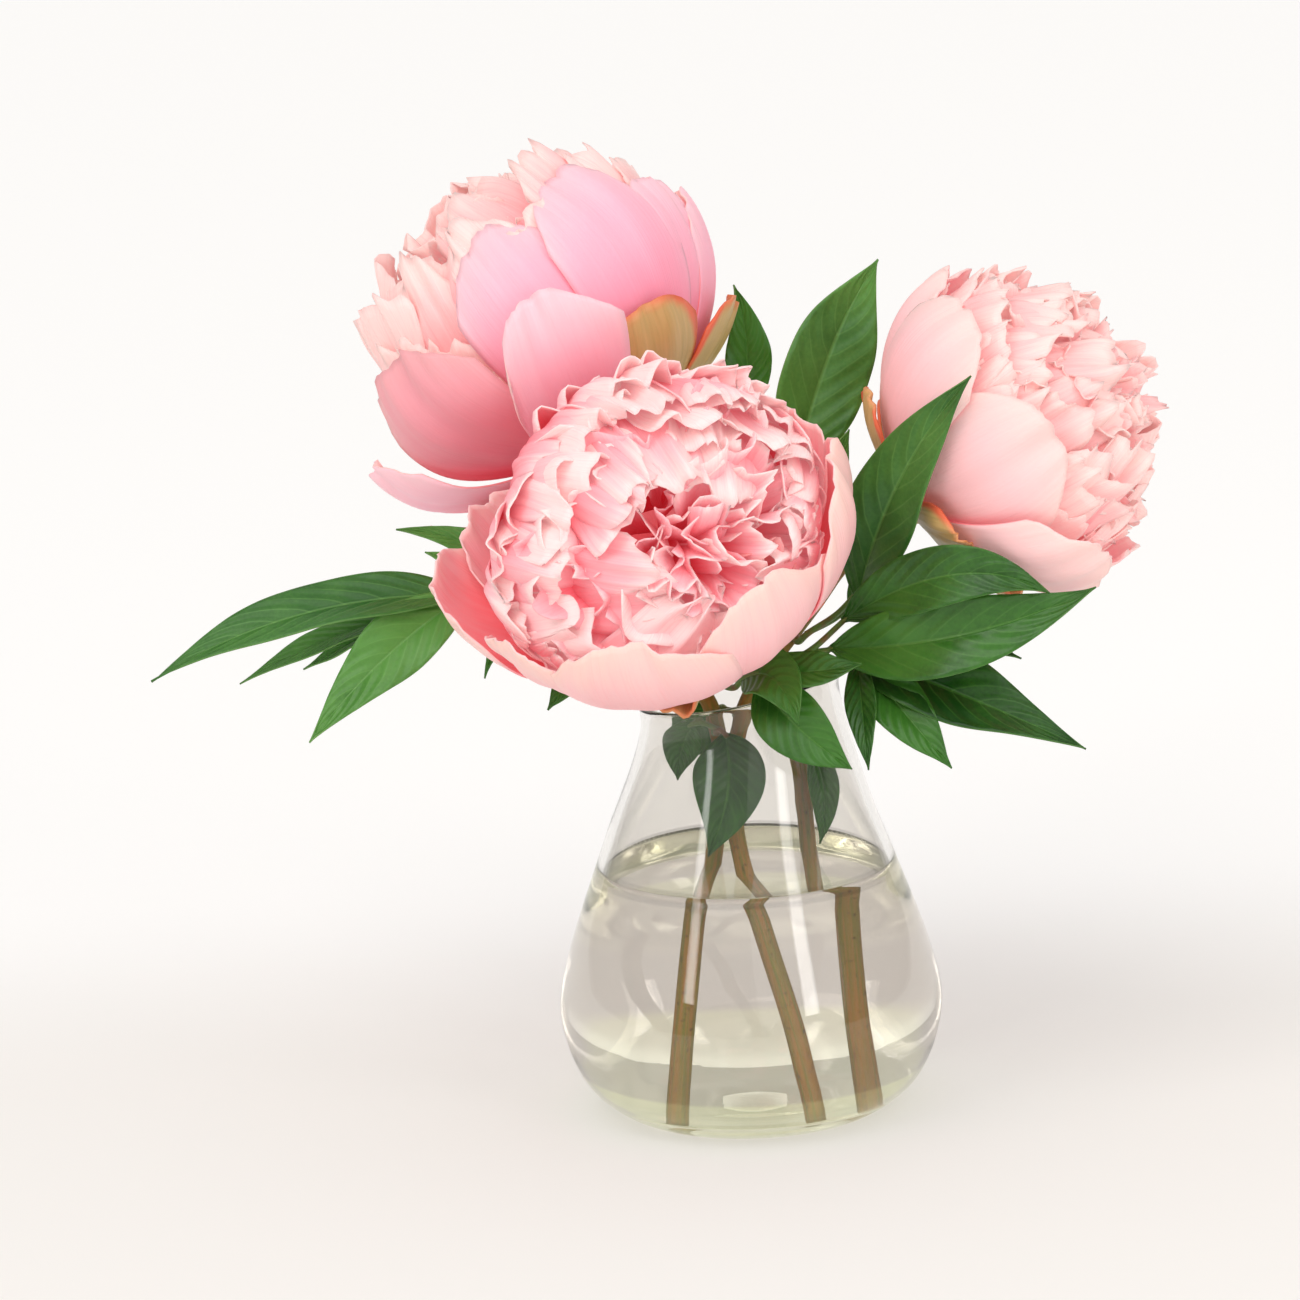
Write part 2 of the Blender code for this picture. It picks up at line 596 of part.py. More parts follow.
def ruffle_shape(flower, polar, around, half, draw):
    """Return the surface of one heart petal: a waved fan that rises from the core."""
    polar += draw.uniform(-RUFFLE_TILT, RUFFLE_TILT)
    around += draw.uniform(-RUFFLE_TILT, RUFFLE_TILT)
    out = Vector((math.sin(polar) * math.cos(around), math.sin(polar) * math.sin(around),
                  math.cos(polar)))
    tangent = Vector((-math.sin(around), math.cos(around), 0.0))
    side = Quaternion(out, draw.uniform(-RUFFLE_TURN, RUFFLE_TURN)) @ tangent
    inner = side.cross(out).normalized()
    length = min(flower.heart, RUFFLE_OUTER_LIMIT / math.sin(polar))
    length += draw.uniform(*RUFFLE_LENGTH_DRAW)
    wave = draw.uniform(*RUFFLE_WAVE)
    phase = draw.uniform(0.0, 2.0 * math.pi)
    curl = draw.uniform(*RUFFLE_CURL)
    middle = Vector((0.0, 0.0, CORE_MIDDLE))

    def surface(across, along):
        rise = (length - RUFFLE_ROOT) * along * (1.0 - RUFFLE_RIM_ROUNDING * across * across)
        spread = half * (RUFFLE_ROOT_SPREAD + (1.0 - RUFFLE_ROOT_SPREAD) * along)
        bend = along * (wave * math.sin(RUFFLE_WAVES * math.pi * across + phase) + curl)
        return flower.size * (middle + out * (RUFFLE_ROOT + rise) + side * (across * spread)
                              + inner * bend)

    return surface


def make_core(name, flower, collection):
    """Make the solid heart that the ruffled petals grow from."""
    segments, rings = CORE_SEGMENTS
    bm = bmesh.new()
    bmesh.ops.create_uvsphere(bm, u_segments=segments, v_segments=rings, radius=flower.size)
    bmesh.ops.scale(bm, vec=(CORE_RADIUS, CORE_RADIUS, CORE_HEIGHT), verts=bm.verts)
    bmesh.ops.translate(bm, vec=(0.0, 0.0, CORE_MIDDLE * flower.size), verts=bm.verts)
    return link(name, mesh_from(bm, name), collection)


def make_bloom(name, flower, collection):
    """Fuse guard petals and rings of ruffled heart petals to the bloom's core."""
    draw = random.Random(flower.seed)
    pieces = new_collection(name + "_petals")
    core = make_core(name + "_core", flower, collection)
    for index, petal in enumerate(flower.guards):
        cupping = PETAL_CUPPING if petal.lift == 0.0 else 0.0
        shape = petal_shape(petal, flower.size, PETAL_ROOT_WIDTH, cupping, PETAL_WAVE,
                            draw.uniform(0.0, 2.0 * math.pi))
        blade(f"{name}_guard_{index}", shape, PETAL_GRID, PETAL_THICKNESS, pieces)
    for ring, (polar, count) in enumerate(RUFFLE_RINGS):
        polar = math.radians(polar)
        place = 2.0 * math.pi * flower.heart * math.sin(max(polar, RUFFLE_LEAST_ANGLE)) / count
        for index in range(count):
            around = 2.0 * math.pi * (index + 0.5 * (ring % 2)) / count
            shape = ruffle_shape(flower, polar, around, RUFFLE_SHARE * place / 2.0, draw)
            blade(f"{name}_ruffle_{ring}_{index}", shape, RUFFLE_GRID, PETAL_THICKNESS, pieces)
    pink = make_material(name + "_pink", (0.90, 0.48, 0.52, 1.0), 0.6)
    bloom = fuse(name, core, pieces, collection, pink)
    bloom.matrix_world = bloom_frame(flower)
    return bloom


def make_calyx(name, flower, collection):
    """Fuse the sepals to the turned head of the stem."""
    pieces = new_collection(name + "_sepals")
    profile = [(flower.size * radius, flower.size * height) for radius, height in CALYX_HEAD]
    head = turned(name + "_head", profile, CALYX_TURN_STEPS, collection)
    for index, petal in enumerate(flower.sepals):
        sepal = Petal(petal.azimuth, petal.reach, petal.width, petal.lean, SEPAL_LIFT)
        shape = petal_shape(sepal, flower.size, SEPAL_ROOT_WIDTH)
        blade(f"{name}_sepal_{index}", shape, SEPAL_GRID, SEPAL_THICKNESS, pieces)
    olive = make_material(name + "_olive", (0.55, 0.38, 0.16, 1.0), 0.6)
    calyx = fuse(name, head, pieces, collection, olive)
    calyx.matrix_world = bloom_frame(flower)
    return calyx


def make_stem(name, flower, collection):
    """Run the stem from the vase's floor to its calyx."""
    brown = make_material(name + "_brown", (0.19, 0.12, 0.05, 1.0), 0.5)
    stem = tube(name, stem_path(flower), STEM_RADIUS, STEM_BEVEL_RESOLUTION, collection, brown)
    stem.data.shade_smooth()
    stem.data.set_sharp_from_angle(angle=SHARP_EDGE)
    return stem


def leaflet_shape(leaflet):
    """Return the surface of a pointed leaflet, folded along its midrib and waved at its edge."""
    face = Vector(leaflet.face).normalized()
    widest = LEAF_BASE_POWER / (LEAF_BASE_POWER + LEAF_TIP_POWER)
    root, middle, tip = [Vector(point) for point in leaflet.midrib]
    control = 2.0 * middle - 0.5 * (root + tip)
    phase = sum(root)

    def surface(across, along):
        point = root.lerp(control, along).lerp(control.lerp(tip, along), along)
        run = (control - root).lerp(tip - control, along).normalized()
        side = run.cross(face).normalized()
        swell = ((along / widest) ** LEAF_BASE_POWER
                 * ((1.0 - along) / (1.0 - widest)) ** LEAF_TIP_POWER)
        root_half = LEAF_ROOT_WIDTH / 2.0 * (1.0 - along) ** 2
        half = max(leaflet.width / 2.0 * swell, root_half)
        wave = LEAF_WAVE * leaflet.width * swell * math.sin(LEAF_WAVES * math.pi * along + phase)
        lift = abs(across) * half * math.sin(LEAF_FOLD) + across * wave
        return point + side * (across * half * math.cos(LEAF_FOLD)) + side.cross(run) * lift

    return surface


def make_spray(name, spray, collection):
    """Fuse the leaflets of a compound leaf to its stalk."""
    pieces = new_collection(name + "_leaflets")
    root, out = stem_side(FLOWERS[spray.stem], spray.height, spray.heading)
    path = [root] + smooth_path([root + STALK_START * out] + list(spray.stalk), STALK_POINTS)
    stalk = tube(name + "_stalk", path, STALK_RADIUS, STALK_BEVEL_RESOLUTION, collection)
    for index, points in enumerate(spray.side_stalks):
        tube(f"{name}_side_stalk_{index}", smooth_path(points, STALK_POINTS), STALK_RADIUS,
             STALK_BEVEL_RESOLUTION, pieces)
    for index, leaflet in enumerate(spray.leaflets):
        blade(f"{name}_leaflet_{index}", leaflet_shape(leaflet), LEAF_GRID, LEAF_THICKNESS, pieces)
    green = make_material(name + "_green", spray.color, 0.45)
    return fuse(name, stalk, pieces, collection, green)


def main():
    """Build the whole arrangement."""
    for item in list(bpy.data.objects):
        bpy.data.objects.remove(item)
    arrangement = new_collection("peonies_in_a_vase")
    cutters = new_collection("cutters")
    make_vase(arrangement)
    make_water(arrangement, cutters)
    for name, flower in FLOWERS.items():
        make_stem(name + "_peony_stem", flower, arrangement)
        make_calyx(name + "_peony_calyx", flower, arrangement)
        make_bloom(name + "_peony_bloom", flower, arrangement)
    for name, spray in SPRAYS.items():
        make_spray(name, spray, arrangement)


main()
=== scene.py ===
"""Dress the peonies in a vase: petals, sepals, leaves, stems, glass, water, floor and light.

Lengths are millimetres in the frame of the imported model, whose origin is the middle of the
vase's foot and whose front faces -Y. MM turns them into metres where a mesh is made. Every
petal, sepal and leaflet is a sheet that follows a formula, gathered with its neighbours in one
mesh and given its thickness by a Solidify modifier.
"""
import logging
import math
import random
from dataclasses import dataclass
from enum import Enum
from typing import Callable, Iterable, Sequence

import bmesh
import bpy
from mathutils import Matrix, Quaternion, Vector, noise

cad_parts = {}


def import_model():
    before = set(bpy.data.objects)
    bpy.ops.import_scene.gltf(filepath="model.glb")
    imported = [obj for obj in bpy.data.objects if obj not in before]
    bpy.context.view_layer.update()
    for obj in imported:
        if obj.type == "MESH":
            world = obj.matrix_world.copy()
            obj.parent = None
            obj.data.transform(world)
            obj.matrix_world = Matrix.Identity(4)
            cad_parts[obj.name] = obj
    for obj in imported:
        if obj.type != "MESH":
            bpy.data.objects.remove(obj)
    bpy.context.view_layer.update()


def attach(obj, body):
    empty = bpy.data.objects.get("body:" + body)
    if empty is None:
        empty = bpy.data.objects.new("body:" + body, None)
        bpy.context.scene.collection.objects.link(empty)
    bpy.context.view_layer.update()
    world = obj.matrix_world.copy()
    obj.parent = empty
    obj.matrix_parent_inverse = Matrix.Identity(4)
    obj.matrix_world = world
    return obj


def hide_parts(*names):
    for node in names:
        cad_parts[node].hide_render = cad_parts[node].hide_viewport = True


MM = 0.001
TURN = 2.0 * math.pi
WELD = 0.001
NOISE_SPAN = (0.0, 90.0)
NOISE_SEED = 1
BODY = "root"
LOG = logging.getLogger("peonies")

Shape = Callable[[float, float], Vector]
Color = tuple[float, float, float]
Point = tuple[float, float, float]
Pair = tuple[float, float]


# ---------------------------------------------------------------------------------------------
# Shader sums
# ---------------------------------------------------------------------------------------------

class Signal:
    """A number that varies over a surface: a socket that takes part in sums."""

    def __init__(self, wiring: "Wiring", socket: bpy.types.NodeSocket) -> None:
        """Wrap an output socket of the wiring's tree."""
        self.wiring = wiring
        self.socket = socket

    def _sum(self, operation: str, first: "Signal | float", second: "Signal | float") -> "Signal":
        """Add one Math node."""
        made = self.wiring.node("Math", {"operation": operation}, {0: first, 1: second})
        return Signal(self.wiring, made.outputs[0])

    def __add__(self, other: "Signal | float") -> "Signal":
        """Return the sum."""
        return self._sum("ADD", self, other)

    __radd__ = __add__

    def __sub__(self, other: "Signal | float") -> "Signal":
        """Return the difference."""
        return self._sum("SUBTRACT", self, other)

    def __rsub__(self, other: float) -> "Signal":
        """Return a number less this signal."""
        return self._sum("SUBTRACT", other, self)

    def __mul__(self, other: "Signal | float") -> "Signal":
        """Return the product."""
        return self._sum("MULTIPLY", self, other)

    __rmul__ = __mul__

    def __abs__(self) -> "Signal":
        """Return the size without its sign."""
        return self._sum("ABSOLUTE", self, 0.0)

    def __pow__(self, other: float) -> "Signal":
        """Return a power."""
        return self._sum("POWER", self, other)

    def wave(self) -> "Signal":
        """Return the sine."""
        return self._sum("SINE", self, 0.0)

    def below(self, limit: float) -> "Signal":
        """Return 1 below a limit and 0 above it."""
        return self._sum("LESS_THAN", self, limit)

    def swing(self, amount: float) -> "Signal":
        """Return how far a pattern of 0 to 1 is from its middle, times an amount."""
        return (self - 0.5) * amount

    def eased(self, low: float, high: float) -> "Signal":
        """Return 0 below low, 1 above high and an eased step between them.

        Args:
            low: where the step starts.
            high: where it ends.

        Returns:
            The stepped signal.
        """
        made = self.wiring.node("MapRange", {"interpolation_type": "SMOOTHSTEP"},
                                {"Value": self, "From Min": low, "From Max": high})
        return Signal(self.wiring, made.outputs[0])


class Wiring:
    """A node tree under construction."""

    def __init__(self, tree: bpy.types.NodeTree) -> None:
        """Work on a tree."""
        self.tree = tree

    def feed(self, socket: bpy.types.NodeSocket, value: object) -> None:
        """Link a signal or a socket to an input, or set the input to a plain value.

        Args:
            socket: the input.
            value: what goes in it.
        """
        if isinstance(value, Signal):
            self.tree.links.new(value.socket, socket)
        elif isinstance(value, bpy.types.NodeSocket):
            self.tree.links.new(value, socket)
        elif isinstance(value, tuple) and len(value) == 3 and socket.type == "RGBA":
            socket.default_value = (*value, 1.0)
        else:
            socket.default_value = value

    def node(self, kind: str, settings: dict | None = None,
             inputs: dict | None = None) -> bpy.types.Node:
        """Add a node.

        Args:
            kind: the node's type without its ShaderNode prefix.
            settings: what is set on the node first; "stops" are a ramp's (place, colour) pairs.
            inputs: input name or number to a signal, a socket or a plain value.

        Returns:
            The new node.
        """
        made = self.tree.nodes.new("ShaderNode" + kind)
        for key, value in (settings or {}).items():
            if key == "stops":
                self._set_stops(made, value)
            else:
                setattr(made, key, value)
        for key, value in (inputs or {}).items():
            self.feed(made.inputs[key], value)
        return made

    @staticmethod
    def _set_stops(ramp: bpy.types.Node, stops: Sequence[tuple[float, Color]]) -> None:
        """Give a colour ramp its stops.

        Args:
            ramp: the ramp's node.
            stops: its (place, colour) pairs.
        """
        elements = ramp.color_ramp.elements
        while len(elements) < len(stops):
            elements.new(1.0)
        for element, (place, color) in zip(elements, stops):
            element.position = place
            element.color = (*color, 1.0)

    def mixed(self, share: Signal | float, first: object, second: object,
              blend: str = "MIX") -> bpy.types.NodeSocket:
        """Mix two colours.

        Args:
            share: how much of the second shows, 0 to 1.
            first: a colour or a socket.
            second: a colour or a socket.
            blend: the way that they mix.

        Returns:
            The mixed colour.
        """
        made = self.node("Mix", {"data_type": "RGBA", "blend_type": blend},
                         {0: share, 6: first, 7: second})
        return made.outputs[2]


class Shading(Wiring):
    """A material under construction: its node tree, its Principled shader and its output."""

    def __init__(self, name: str) -> None:
        """Start a material.

        Args:
            name: the material's name.
        """
        self.material = bpy.data.materials.new(name)
        self.material.use_nodes = True
        super().__init__(self.material.node_tree)
        self.shader = self.tree.nodes["Principled BSDF"]
        self.output = self.tree.nodes["Material Output"]

    def attribute(self, name: str) -> Signal:
        """Read a number that the mesh carries."""
        made = self.node("Attribute", {"attribute_name": name})
        return Signal(self, made.outputs["Fac"])

    def place(self) -> bpy.types.NodeSocket:
        """Read the place on the object, in metres."""
        return self.node("TexCoord").outputs["Object"]

    def offset(self, axis: str) -> Signal:
        """Read the place along one of the object's axes, in metres."""
        return Signal(self, self.node("SeparateXYZ", None, {0: self.place()}).outputs[axis])

    def lane(self, scales: tuple[float, float, float]) -> bpy.types.NodeSocket:
        """Return a place that follows the sheet, for a pattern that runs along it.

        Args:
            scales: of the place across, the place along and the sheet's own shade.

        Returns:
            The place in the pattern.
        """
        across, along, own = scales
        return self.node("CombineXYZ", None, {0: self.attribute("across") * across,
                                              1: self.attribute("along") * along,
                                              2: self.attribute("tint") * own}).outputs[0]

    def noise(self, where: bpy.types.NodeSocket, scale: float, detail: float = 3.0) -> Signal:
        """Return a cloudy pattern of 0 to 1."""
        made = self.node("TexNoise", None, {"Vector": where, "Scale": scale, "Detail": detail})
        return Signal(self, made.outputs["Fac"])

    def ramp(self, signal: Signal, stops: Sequence[tuple[float, Color]]) -> bpy.types.NodeSocket:
        """Turn a number into a colour."""
        return self.node("ValToRGB", {"stops": stops}, {0: signal}).outputs[0]

    def bump(self, height: Signal, depth: float, strength: float = 1.0) -> bpy.types.NodeSocket:
        """Return a normal that a height pattern tilts.

        Args:
            height: the pattern.
            depth: how deep it is, in millimetres.
            strength: how much of the tilt is kept.

        Returns:
            The normal.
        """
        made = self.node("Bump", None, {"Height": height, "Distance": depth * MM,
                                        "Strength": strength})
        return made.outputs[0]

    def dress(self, values: dict) -> bpy.types.Material:
        """Feed the Principled shader.

        Args:
            values: input name to a signal, a socket or a plain value.

        Returns:
            The material.
        """
        for key, value in values.items():
            self.feed(self.shader.inputs[key], value)
        return self.material


# ---------------------------------------------------------------------------------------------
# Finishes
# ---------------------------------------------------------------------------------------------

@dataclass(frozen=True)
class PetalFinish:
    """The skin of a petal: a colour run from root to rim, with fine streaks along it.

    lanes and fine_lanes scale the streaks; variety is how far a petal's own shade moves it up
    the run, and bleach how far the palest petals turn to pale. shade is painted shade: it
    darkens a petal whose own is 0, as if that petal lay in shadow. glow is painted light: the
    petal gives off a little of its own colour, which lifts its shaded parts.
    """
    name: str
    stops: tuple[tuple[float, Color], ...]
    pale: Color
    shade: Color = (0.84, 0.72, 0.66)
    flush: Color = (1.0, 0.66, 0.70)
    streak: float = 0.22
    variety: float = 0.18
    lanes: tuple[float, float, float] = (5.0, 0.9, 31.0)
    fine_lanes: tuple[float, float, float] = (30.0, 2.0, 17.0)
    cloud_scale: float = 45.0
    cloud_share: float = 0.16
    bleach: float = 0.45
    bleached_tints: Pair = (0.45, 1.0)
    flushed_streaks: Pair = (0.48, 0.74)
    painted_shade_tints: Pair = (0.0, 0.03)
    relief: float = 0.6
    roughness: float = 0.5
    translucence: float = 0.12
    glow: float = 0.10

    def make(self) -> bpy.types.Material:
        """Make the material.

        Returns:
            The material, for sheets that carry along, across and tint.
        """
        shading = Shading(self.name)
        along = shading.attribute("along")
        tint = shading.attribute("tint")
        streak = shading.noise(shading.lane(self.lanes), 2.0, 4.0)
        fine = shading.noise(shading.lane(self.fine_lanes), 1.6, 2.0)
        cloud = shading.noise(shading.place(), self.cloud_scale, 2.0)
        place = along + streak.swing(self.streak) + cloud.swing(self.cloud_share)
        color = shading.ramp(place + tint.swing(self.variety), self.stops)
        bleached = tint.eased(*self.bleached_tints) * self.bleach * along
        color = shading.mixed(bleached, color, self.pale)
        flushed = shading.mixed(1.0, color, self.flush, "MULTIPLY")
        color = shading.mixed(fine.eased(*self.flushed_streaks) * self.streak, color, flushed)
        # Painted shade: a petal whose own shade is 0 takes a darker colour, as if it lay in shadow.
        shaded = shading.mixed(1.0, color, self.shade, "MULTIPLY")
        color = shading.mixed(tint.eased(*self.painted_shade_tints), shaded, color)
        return shading.dress({
            "Base Color": color, "Roughness": self.roughness + cloud.swing(0.12),
            "Normal": shading.bump(streak * 0.7 + fine * 0.3, self.relief, 0.6),
            "Subsurface Weight": self.translucence, "Subsurface Scale": 2.0 * MM,
            "Subsurface Radius": (1.0, 0.42, 0.36), "Specular IOR Level": 0.32,
            # Painted light: the petal glows with a little of its own colour, which lifts its shaded
            # parts.
            "Emission Color": color, "Emission Strength": self.glow,
            "Sheen Weight": 0.08, "Sheen Roughness": 0.5})


@dataclass(frozen=True)
class SepalFinish:
    """A leathery sepal: olive in the middle, flushed orange and red at its edges."""
    name: str
    olive: Color = (0.64, 0.46, 0.18)
    green: Color = (0.34, 0.27, 0.06)
    flush: Color = (0.84, 0.16, 0.07)
    lanes: tuple[float, float, float] = (6.0, 1.0, 23.0)
    cloud_scale: float = 90.0
    side_flush: float = 0.75
    tip_flush: float = 0.85
    flushed: Pair = (0.62, 1.10)

    def make(self) -> bpy.types.Material:
        """Make the material.

        Returns:
            The material, for sheets that carry along, across and tint.
        """
        shading = Shading(self.name)
        along = shading.attribute("along")
        across = shading.attribute("across")
        streak = shading.noise(shading.lane(self.lanes), 2.4, 3.0)
        cloud = shading.noise(shading.place(), self.cloud_scale, 3.0)
        edge = abs(across) ** 3.0 * self.side_flush + along ** 4.0 * self.tip_flush
        body = shading.mixed((1.0 - along) * 0.8 + streak.swing(0.9), self.olive, self.green)
        color = shading.mixed((edge + cloud.swing(0.5)).eased(*self.flushed), body, self.flush)
        return shading.dress({
            "Base Color": color, "Roughness": 0.46 + cloud.swing(0.2),
            "Normal": shading.bump(streak + cloud * 0.4, 0.6, 0.5),
            "Subsurface Weight": 0.12, "Subsurface Scale": 3.0 * MM,
            "Subsurface Radius": (1.0, 0.8, 0.3)})


@dataclass(frozen=True)
class Veins:
    """The side veins of a leaflet, which its finish draws and its surface is quilted by."""
    count: float = 9.0
    sweep: float = 2.4
    bow: float = 1.2

    def phase(self, along: "Signal | float", size: "Signal | float") -> "Signal | float":
        """Return the angle whose sine is 1 on a vein, size being the place out from the rib."""
        return (along * self.count - size ** self.bow * self.sweep) * TURN


VEINS = Veins()


@dataclass(frozen=True)
class LeafFinish:
    """A glossy leaf blade with a pale midrib, side veins and a mottled green."""
    name: str
    deep: Color
    light: Color
    vein: Color
    roughness: float = 0.36
    vein_share: float = 0.38
    side_share: float = 0.55
    rib_edge: Pair = (0.015, 0.075)
    vein_edge: Pair = (0.90, 1.0)
    vein_end: Pair = (0.55, 1.0)
    rim: Pair = (0.93, 1.0)
    cloud_scale: float = 42.0
    wander_scale: float = 120.0
    speck_scale: float = 900.0
    relief: float = 0.5

    def make(self) -> bpy.types.Material:
        """Make the material.

        Returns:
            The material, for sheets that carry along, across and tint.
        """
        shading = Shading(self.name)
        along = shading.attribute("along")
        size = abs(shading.attribute("across"))
        tint = shading.attribute("tint")
        cloud = shading.noise(shading.place(), self.cloud_scale, 4.0)
        speck = shading.noise(shading.place(), self.speck_scale, 2.0)
        mottle = cloud.swing(1.3) + tint * 0.6 + speck.swing(0.35) + 0.25
        color = shading.mixed(mottle.eased(0.0, 1.0), self.deep, self.light)
        rib = 1.0 - size.eased(*self.rib_edge)
        wander = shading.noise(shading.place(), self.wander_scale, 2.0).swing(1.6)
        quilt = (VEINS.phase(along, size) + wander).wave()
        side = quilt.eased(*self.vein_edge) * (1.0 - size.eased(*self.vein_end))
        color = shading.mixed((rib + side * self.side_share) * self.vein_share, color, self.vein)
        color = shading.mixed(size.eased(*self.rim) * 0.35, color, self.light)
        relief = quilt * 0.35 - rib * 0.9 + speck * 0.12 + cloud * 0.5
        return shading.dress({
            "Base Color": color, "Roughness": self.roughness + cloud.swing(0.22),
            "Normal": shading.bump(relief, self.relief, 0.55),
            "Subsurface Weight": 0.08, "Subsurface Scale": 2.0 * MM,
            "Subsurface Radius": (0.5, 1.0, 0.2), "Coat Weight": 0.10, "Coat Roughness": 0.28,
            "Specular IOR Level": 0.34})


@dataclass(frozen=True)
class StemFinish:
    """Woody green-brown stem, streaked along its length and freckled."""
    name: str
    brown: Color = (0.360, 0.165, 0.026)
    green: Color = (0.190, 0.180, 0.016)
    dark: Color = (0.070, 0.028, 0.006)
    lanes: tuple[float, float, float] = (5.0, 6.0, 13.0)
    greened: Pair = (0.30, 0.72)
    freckled: Pair = (0.58, 0.75)
    freckle_scale: float = 620.0

    def make(self) -> bpy.types.Material:
        """Make the material.

        Returns:
            The material, for tubes that carry along, across and tint.
        """
        shading = Shading(self.name)
        streak = shading.noise(shading.lane(self.lanes), 2.0, 4.0)
        freckle = shading.noise(shading.place(), self.freckle_scale, 3.0)
        color = shading.mixed(streak.eased(*self.greened), self.brown, self.green)
        color = shading.mixed(freckle.eased(*self.freckled) * 0.7, color, self.dark)
        return shading.dress({
            "Base Color": color, "Roughness": 0.52 + freckle.swing(0.3),
            "Normal": shading.bump(streak + freckle * 0.6, 0.5, 0.6)})


@dataclass(frozen=True)
class StalkFinish:
    """Thin leaf stalk, green with reddish patches."""
    name: str
    green: Color = (0.120, 0.220, 0.045)
    red: Color = (0.260, 0.085, 0.040)
    lanes: tuple[float, float, float] = (4.0, 3.0, 0.0)
    reddened: Pair = (0.48, 0.70)
    cloud_scale: float = 150.0

    def make(self) -> bpy.types.Material:
        """Make the material.

        Returns:
            The material, for tubes that carry along, across and tint.
        """
        shading = Shading(self.name)
        cloud = shading.noise(shading.place(), self.cloud_scale, 3.0)
        streak = shading.noise(shading.lane(self.lanes), 2.0, 3.0)
        color = shading.mixed(cloud.eased(*self.reddened) * 0.8, self.green, self.red)
        return shading.dress({"Base Color": color, "Roughness": 0.42 + cloud.swing(0.2),
                              "Normal": shading.bump(streak, 0.3, 0.5)})


@dataclass(frozen=True)
class ClearFinish:
    """Glass or water: clear, with a tinted foot and a faint ripple, and light to its shadow.

    At the ring heights a thin grey line of painted shade runs round it, standing in for the dark
    line that the edge of water shows through glass. glow, where it is set, is painted light in
    the foot, which brightens it.
    """
    name: str
    index: float
    clear: Color
    foot: Color
    foot_height: float
    ripple: float
    shade: float
    glow: Color = (0.0, 0.0, 0.0)
    unlit: Color = (0.0, 0.0, 0.0)
    ring: Color = (0.62, 0.60, 0.59)
    painted_line_heights: tuple[float, ...] = ()
    ring_width: float = 0.9
    foot_blend: float = 0.9
    ripple_scale: float = 26.0

    def make(self) -> bpy.types.Material:
        """Make the material.

        Returns:
            The material; a shadow ray passes straight through it.
        """
        shading = Shading(self.name)
        height = shading.offset("Z")
        above = height.eased(self.foot_height * self.foot_blend * MM, self.foot_height * MM)
        color = shading.mixed(above, self.foot, self.clear)
        # Painted shade: thin grey lines round the glass stand in for the dark line at the water's
        # edge.
        for middle in self.painted_line_heights:
            low = (middle - self.ring_width) * MM
            high = (middle + self.ring_width) * MM
            painted_line = height.eased(low, middle * MM) - height.eased(middle * MM, high)
            color = shading.mixed(painted_line, color, self.ring)
        ripple = shading.noise(shading.place(), self.ripple_scale, 1.0)
        material = shading.dress({
            "Base Color": color, "Roughness": 0.0, "IOR": self.index,
            # Painted light: the foot glows faintly, which brightens it.
            "Emission Color": shading.mixed(above, self.glow, self.unlit),
            "Emission Strength": 1.0, "Transmission Weight": 1.0,
            "Normal": shading.bump(ripple, self.ripple, 0.3)})
        see_through = shading.node("BsdfTransparent", None, {"Color": (self.shade,) * 3})
        is_shadow = shading.node("LightPath").outputs["Is Shadow Ray"]
        mix = shading.node("MixShader", None, {0: is_shadow, 1: shading.shader.outputs[0],
                                               2: see_through.outputs[0]})
        shading.feed(shading.output.inputs["Surface"], mix.outputs[0])
        return material


@dataclass(frozen=True)
class FloorFinish:
    """A plain pale sweep, greyer near at hand: partly the tabletop's own grey, partly painted
    shade for the soft shadow about the vase.
    """
    name: str = "floor"
    near: Color = (0.84, 0.82, 0.79)
    far: Color = (0.95, 0.945, 0.935)
    near_end: float = 40.0
    far_start: float = 260.0
    grain_scale: float = 400.0
    glow: float = 0.10

    def make(self) -> bpy.types.Material:
        """Make the material.

        Returns:
            The material, for the studio's floor.
        """
        shading = Shading(self.name)
        grain = shading.noise(shading.place(), self.grain_scale, 2.0)
        away = shading.offset("Y").eased(self.near_end * MM, self.far_start * MM)
        # Painted shade, in part: the floor is greyer in front of and under the vase.
        color = shading.mixed(away, self.near, self.far)
        return shading.dress({"Base Color": color, "Roughness": 0.85 + grain.swing(0.1),
                              "Emission Color": color, "Emission Strength": self.glow})


PINK_GUARD_OUTER = PetalFinish(
    "petal_rose_outer",
    ((0.00, (0.84, 0.06, 0.13)), (0.16, (0.93, 0.13, 0.26)), (0.42, (0.96, 0.31, 0.44)),
     (0.75, (0.97, 0.46, 0.57)), (1.00, (0.98, 0.58, 0.64))), (0.98, 0.62, 0.68), streak=0.10)
PALE_GUARD_OUTER = PetalFinish(
    "petal_pale_outer",
    ((0.00, (0.86, 0.12, 0.10)), (0.12, (0.92, 0.27, 0.27)), (0.34, (0.93, 0.48, 0.50)),
     (0.70, (0.93, 0.57, 0.58)), (1.00, (0.95, 0.65, 0.61))), (0.97, 0.72, 0.72), streak=0.08)
CREAM_GUARD_OUTER = PetalFinish(
    "petal_coral_outer",
    ((0.00, (0.86, 0.10, 0.09)), (0.14, (0.95, 0.26, 0.27)), (0.40, (0.96, 0.43, 0.46)),
     (0.74, (0.96, 0.54, 0.55)), (1.00, (0.96, 0.64, 0.57))), (0.96, 0.68, 0.64), streak=0.12)
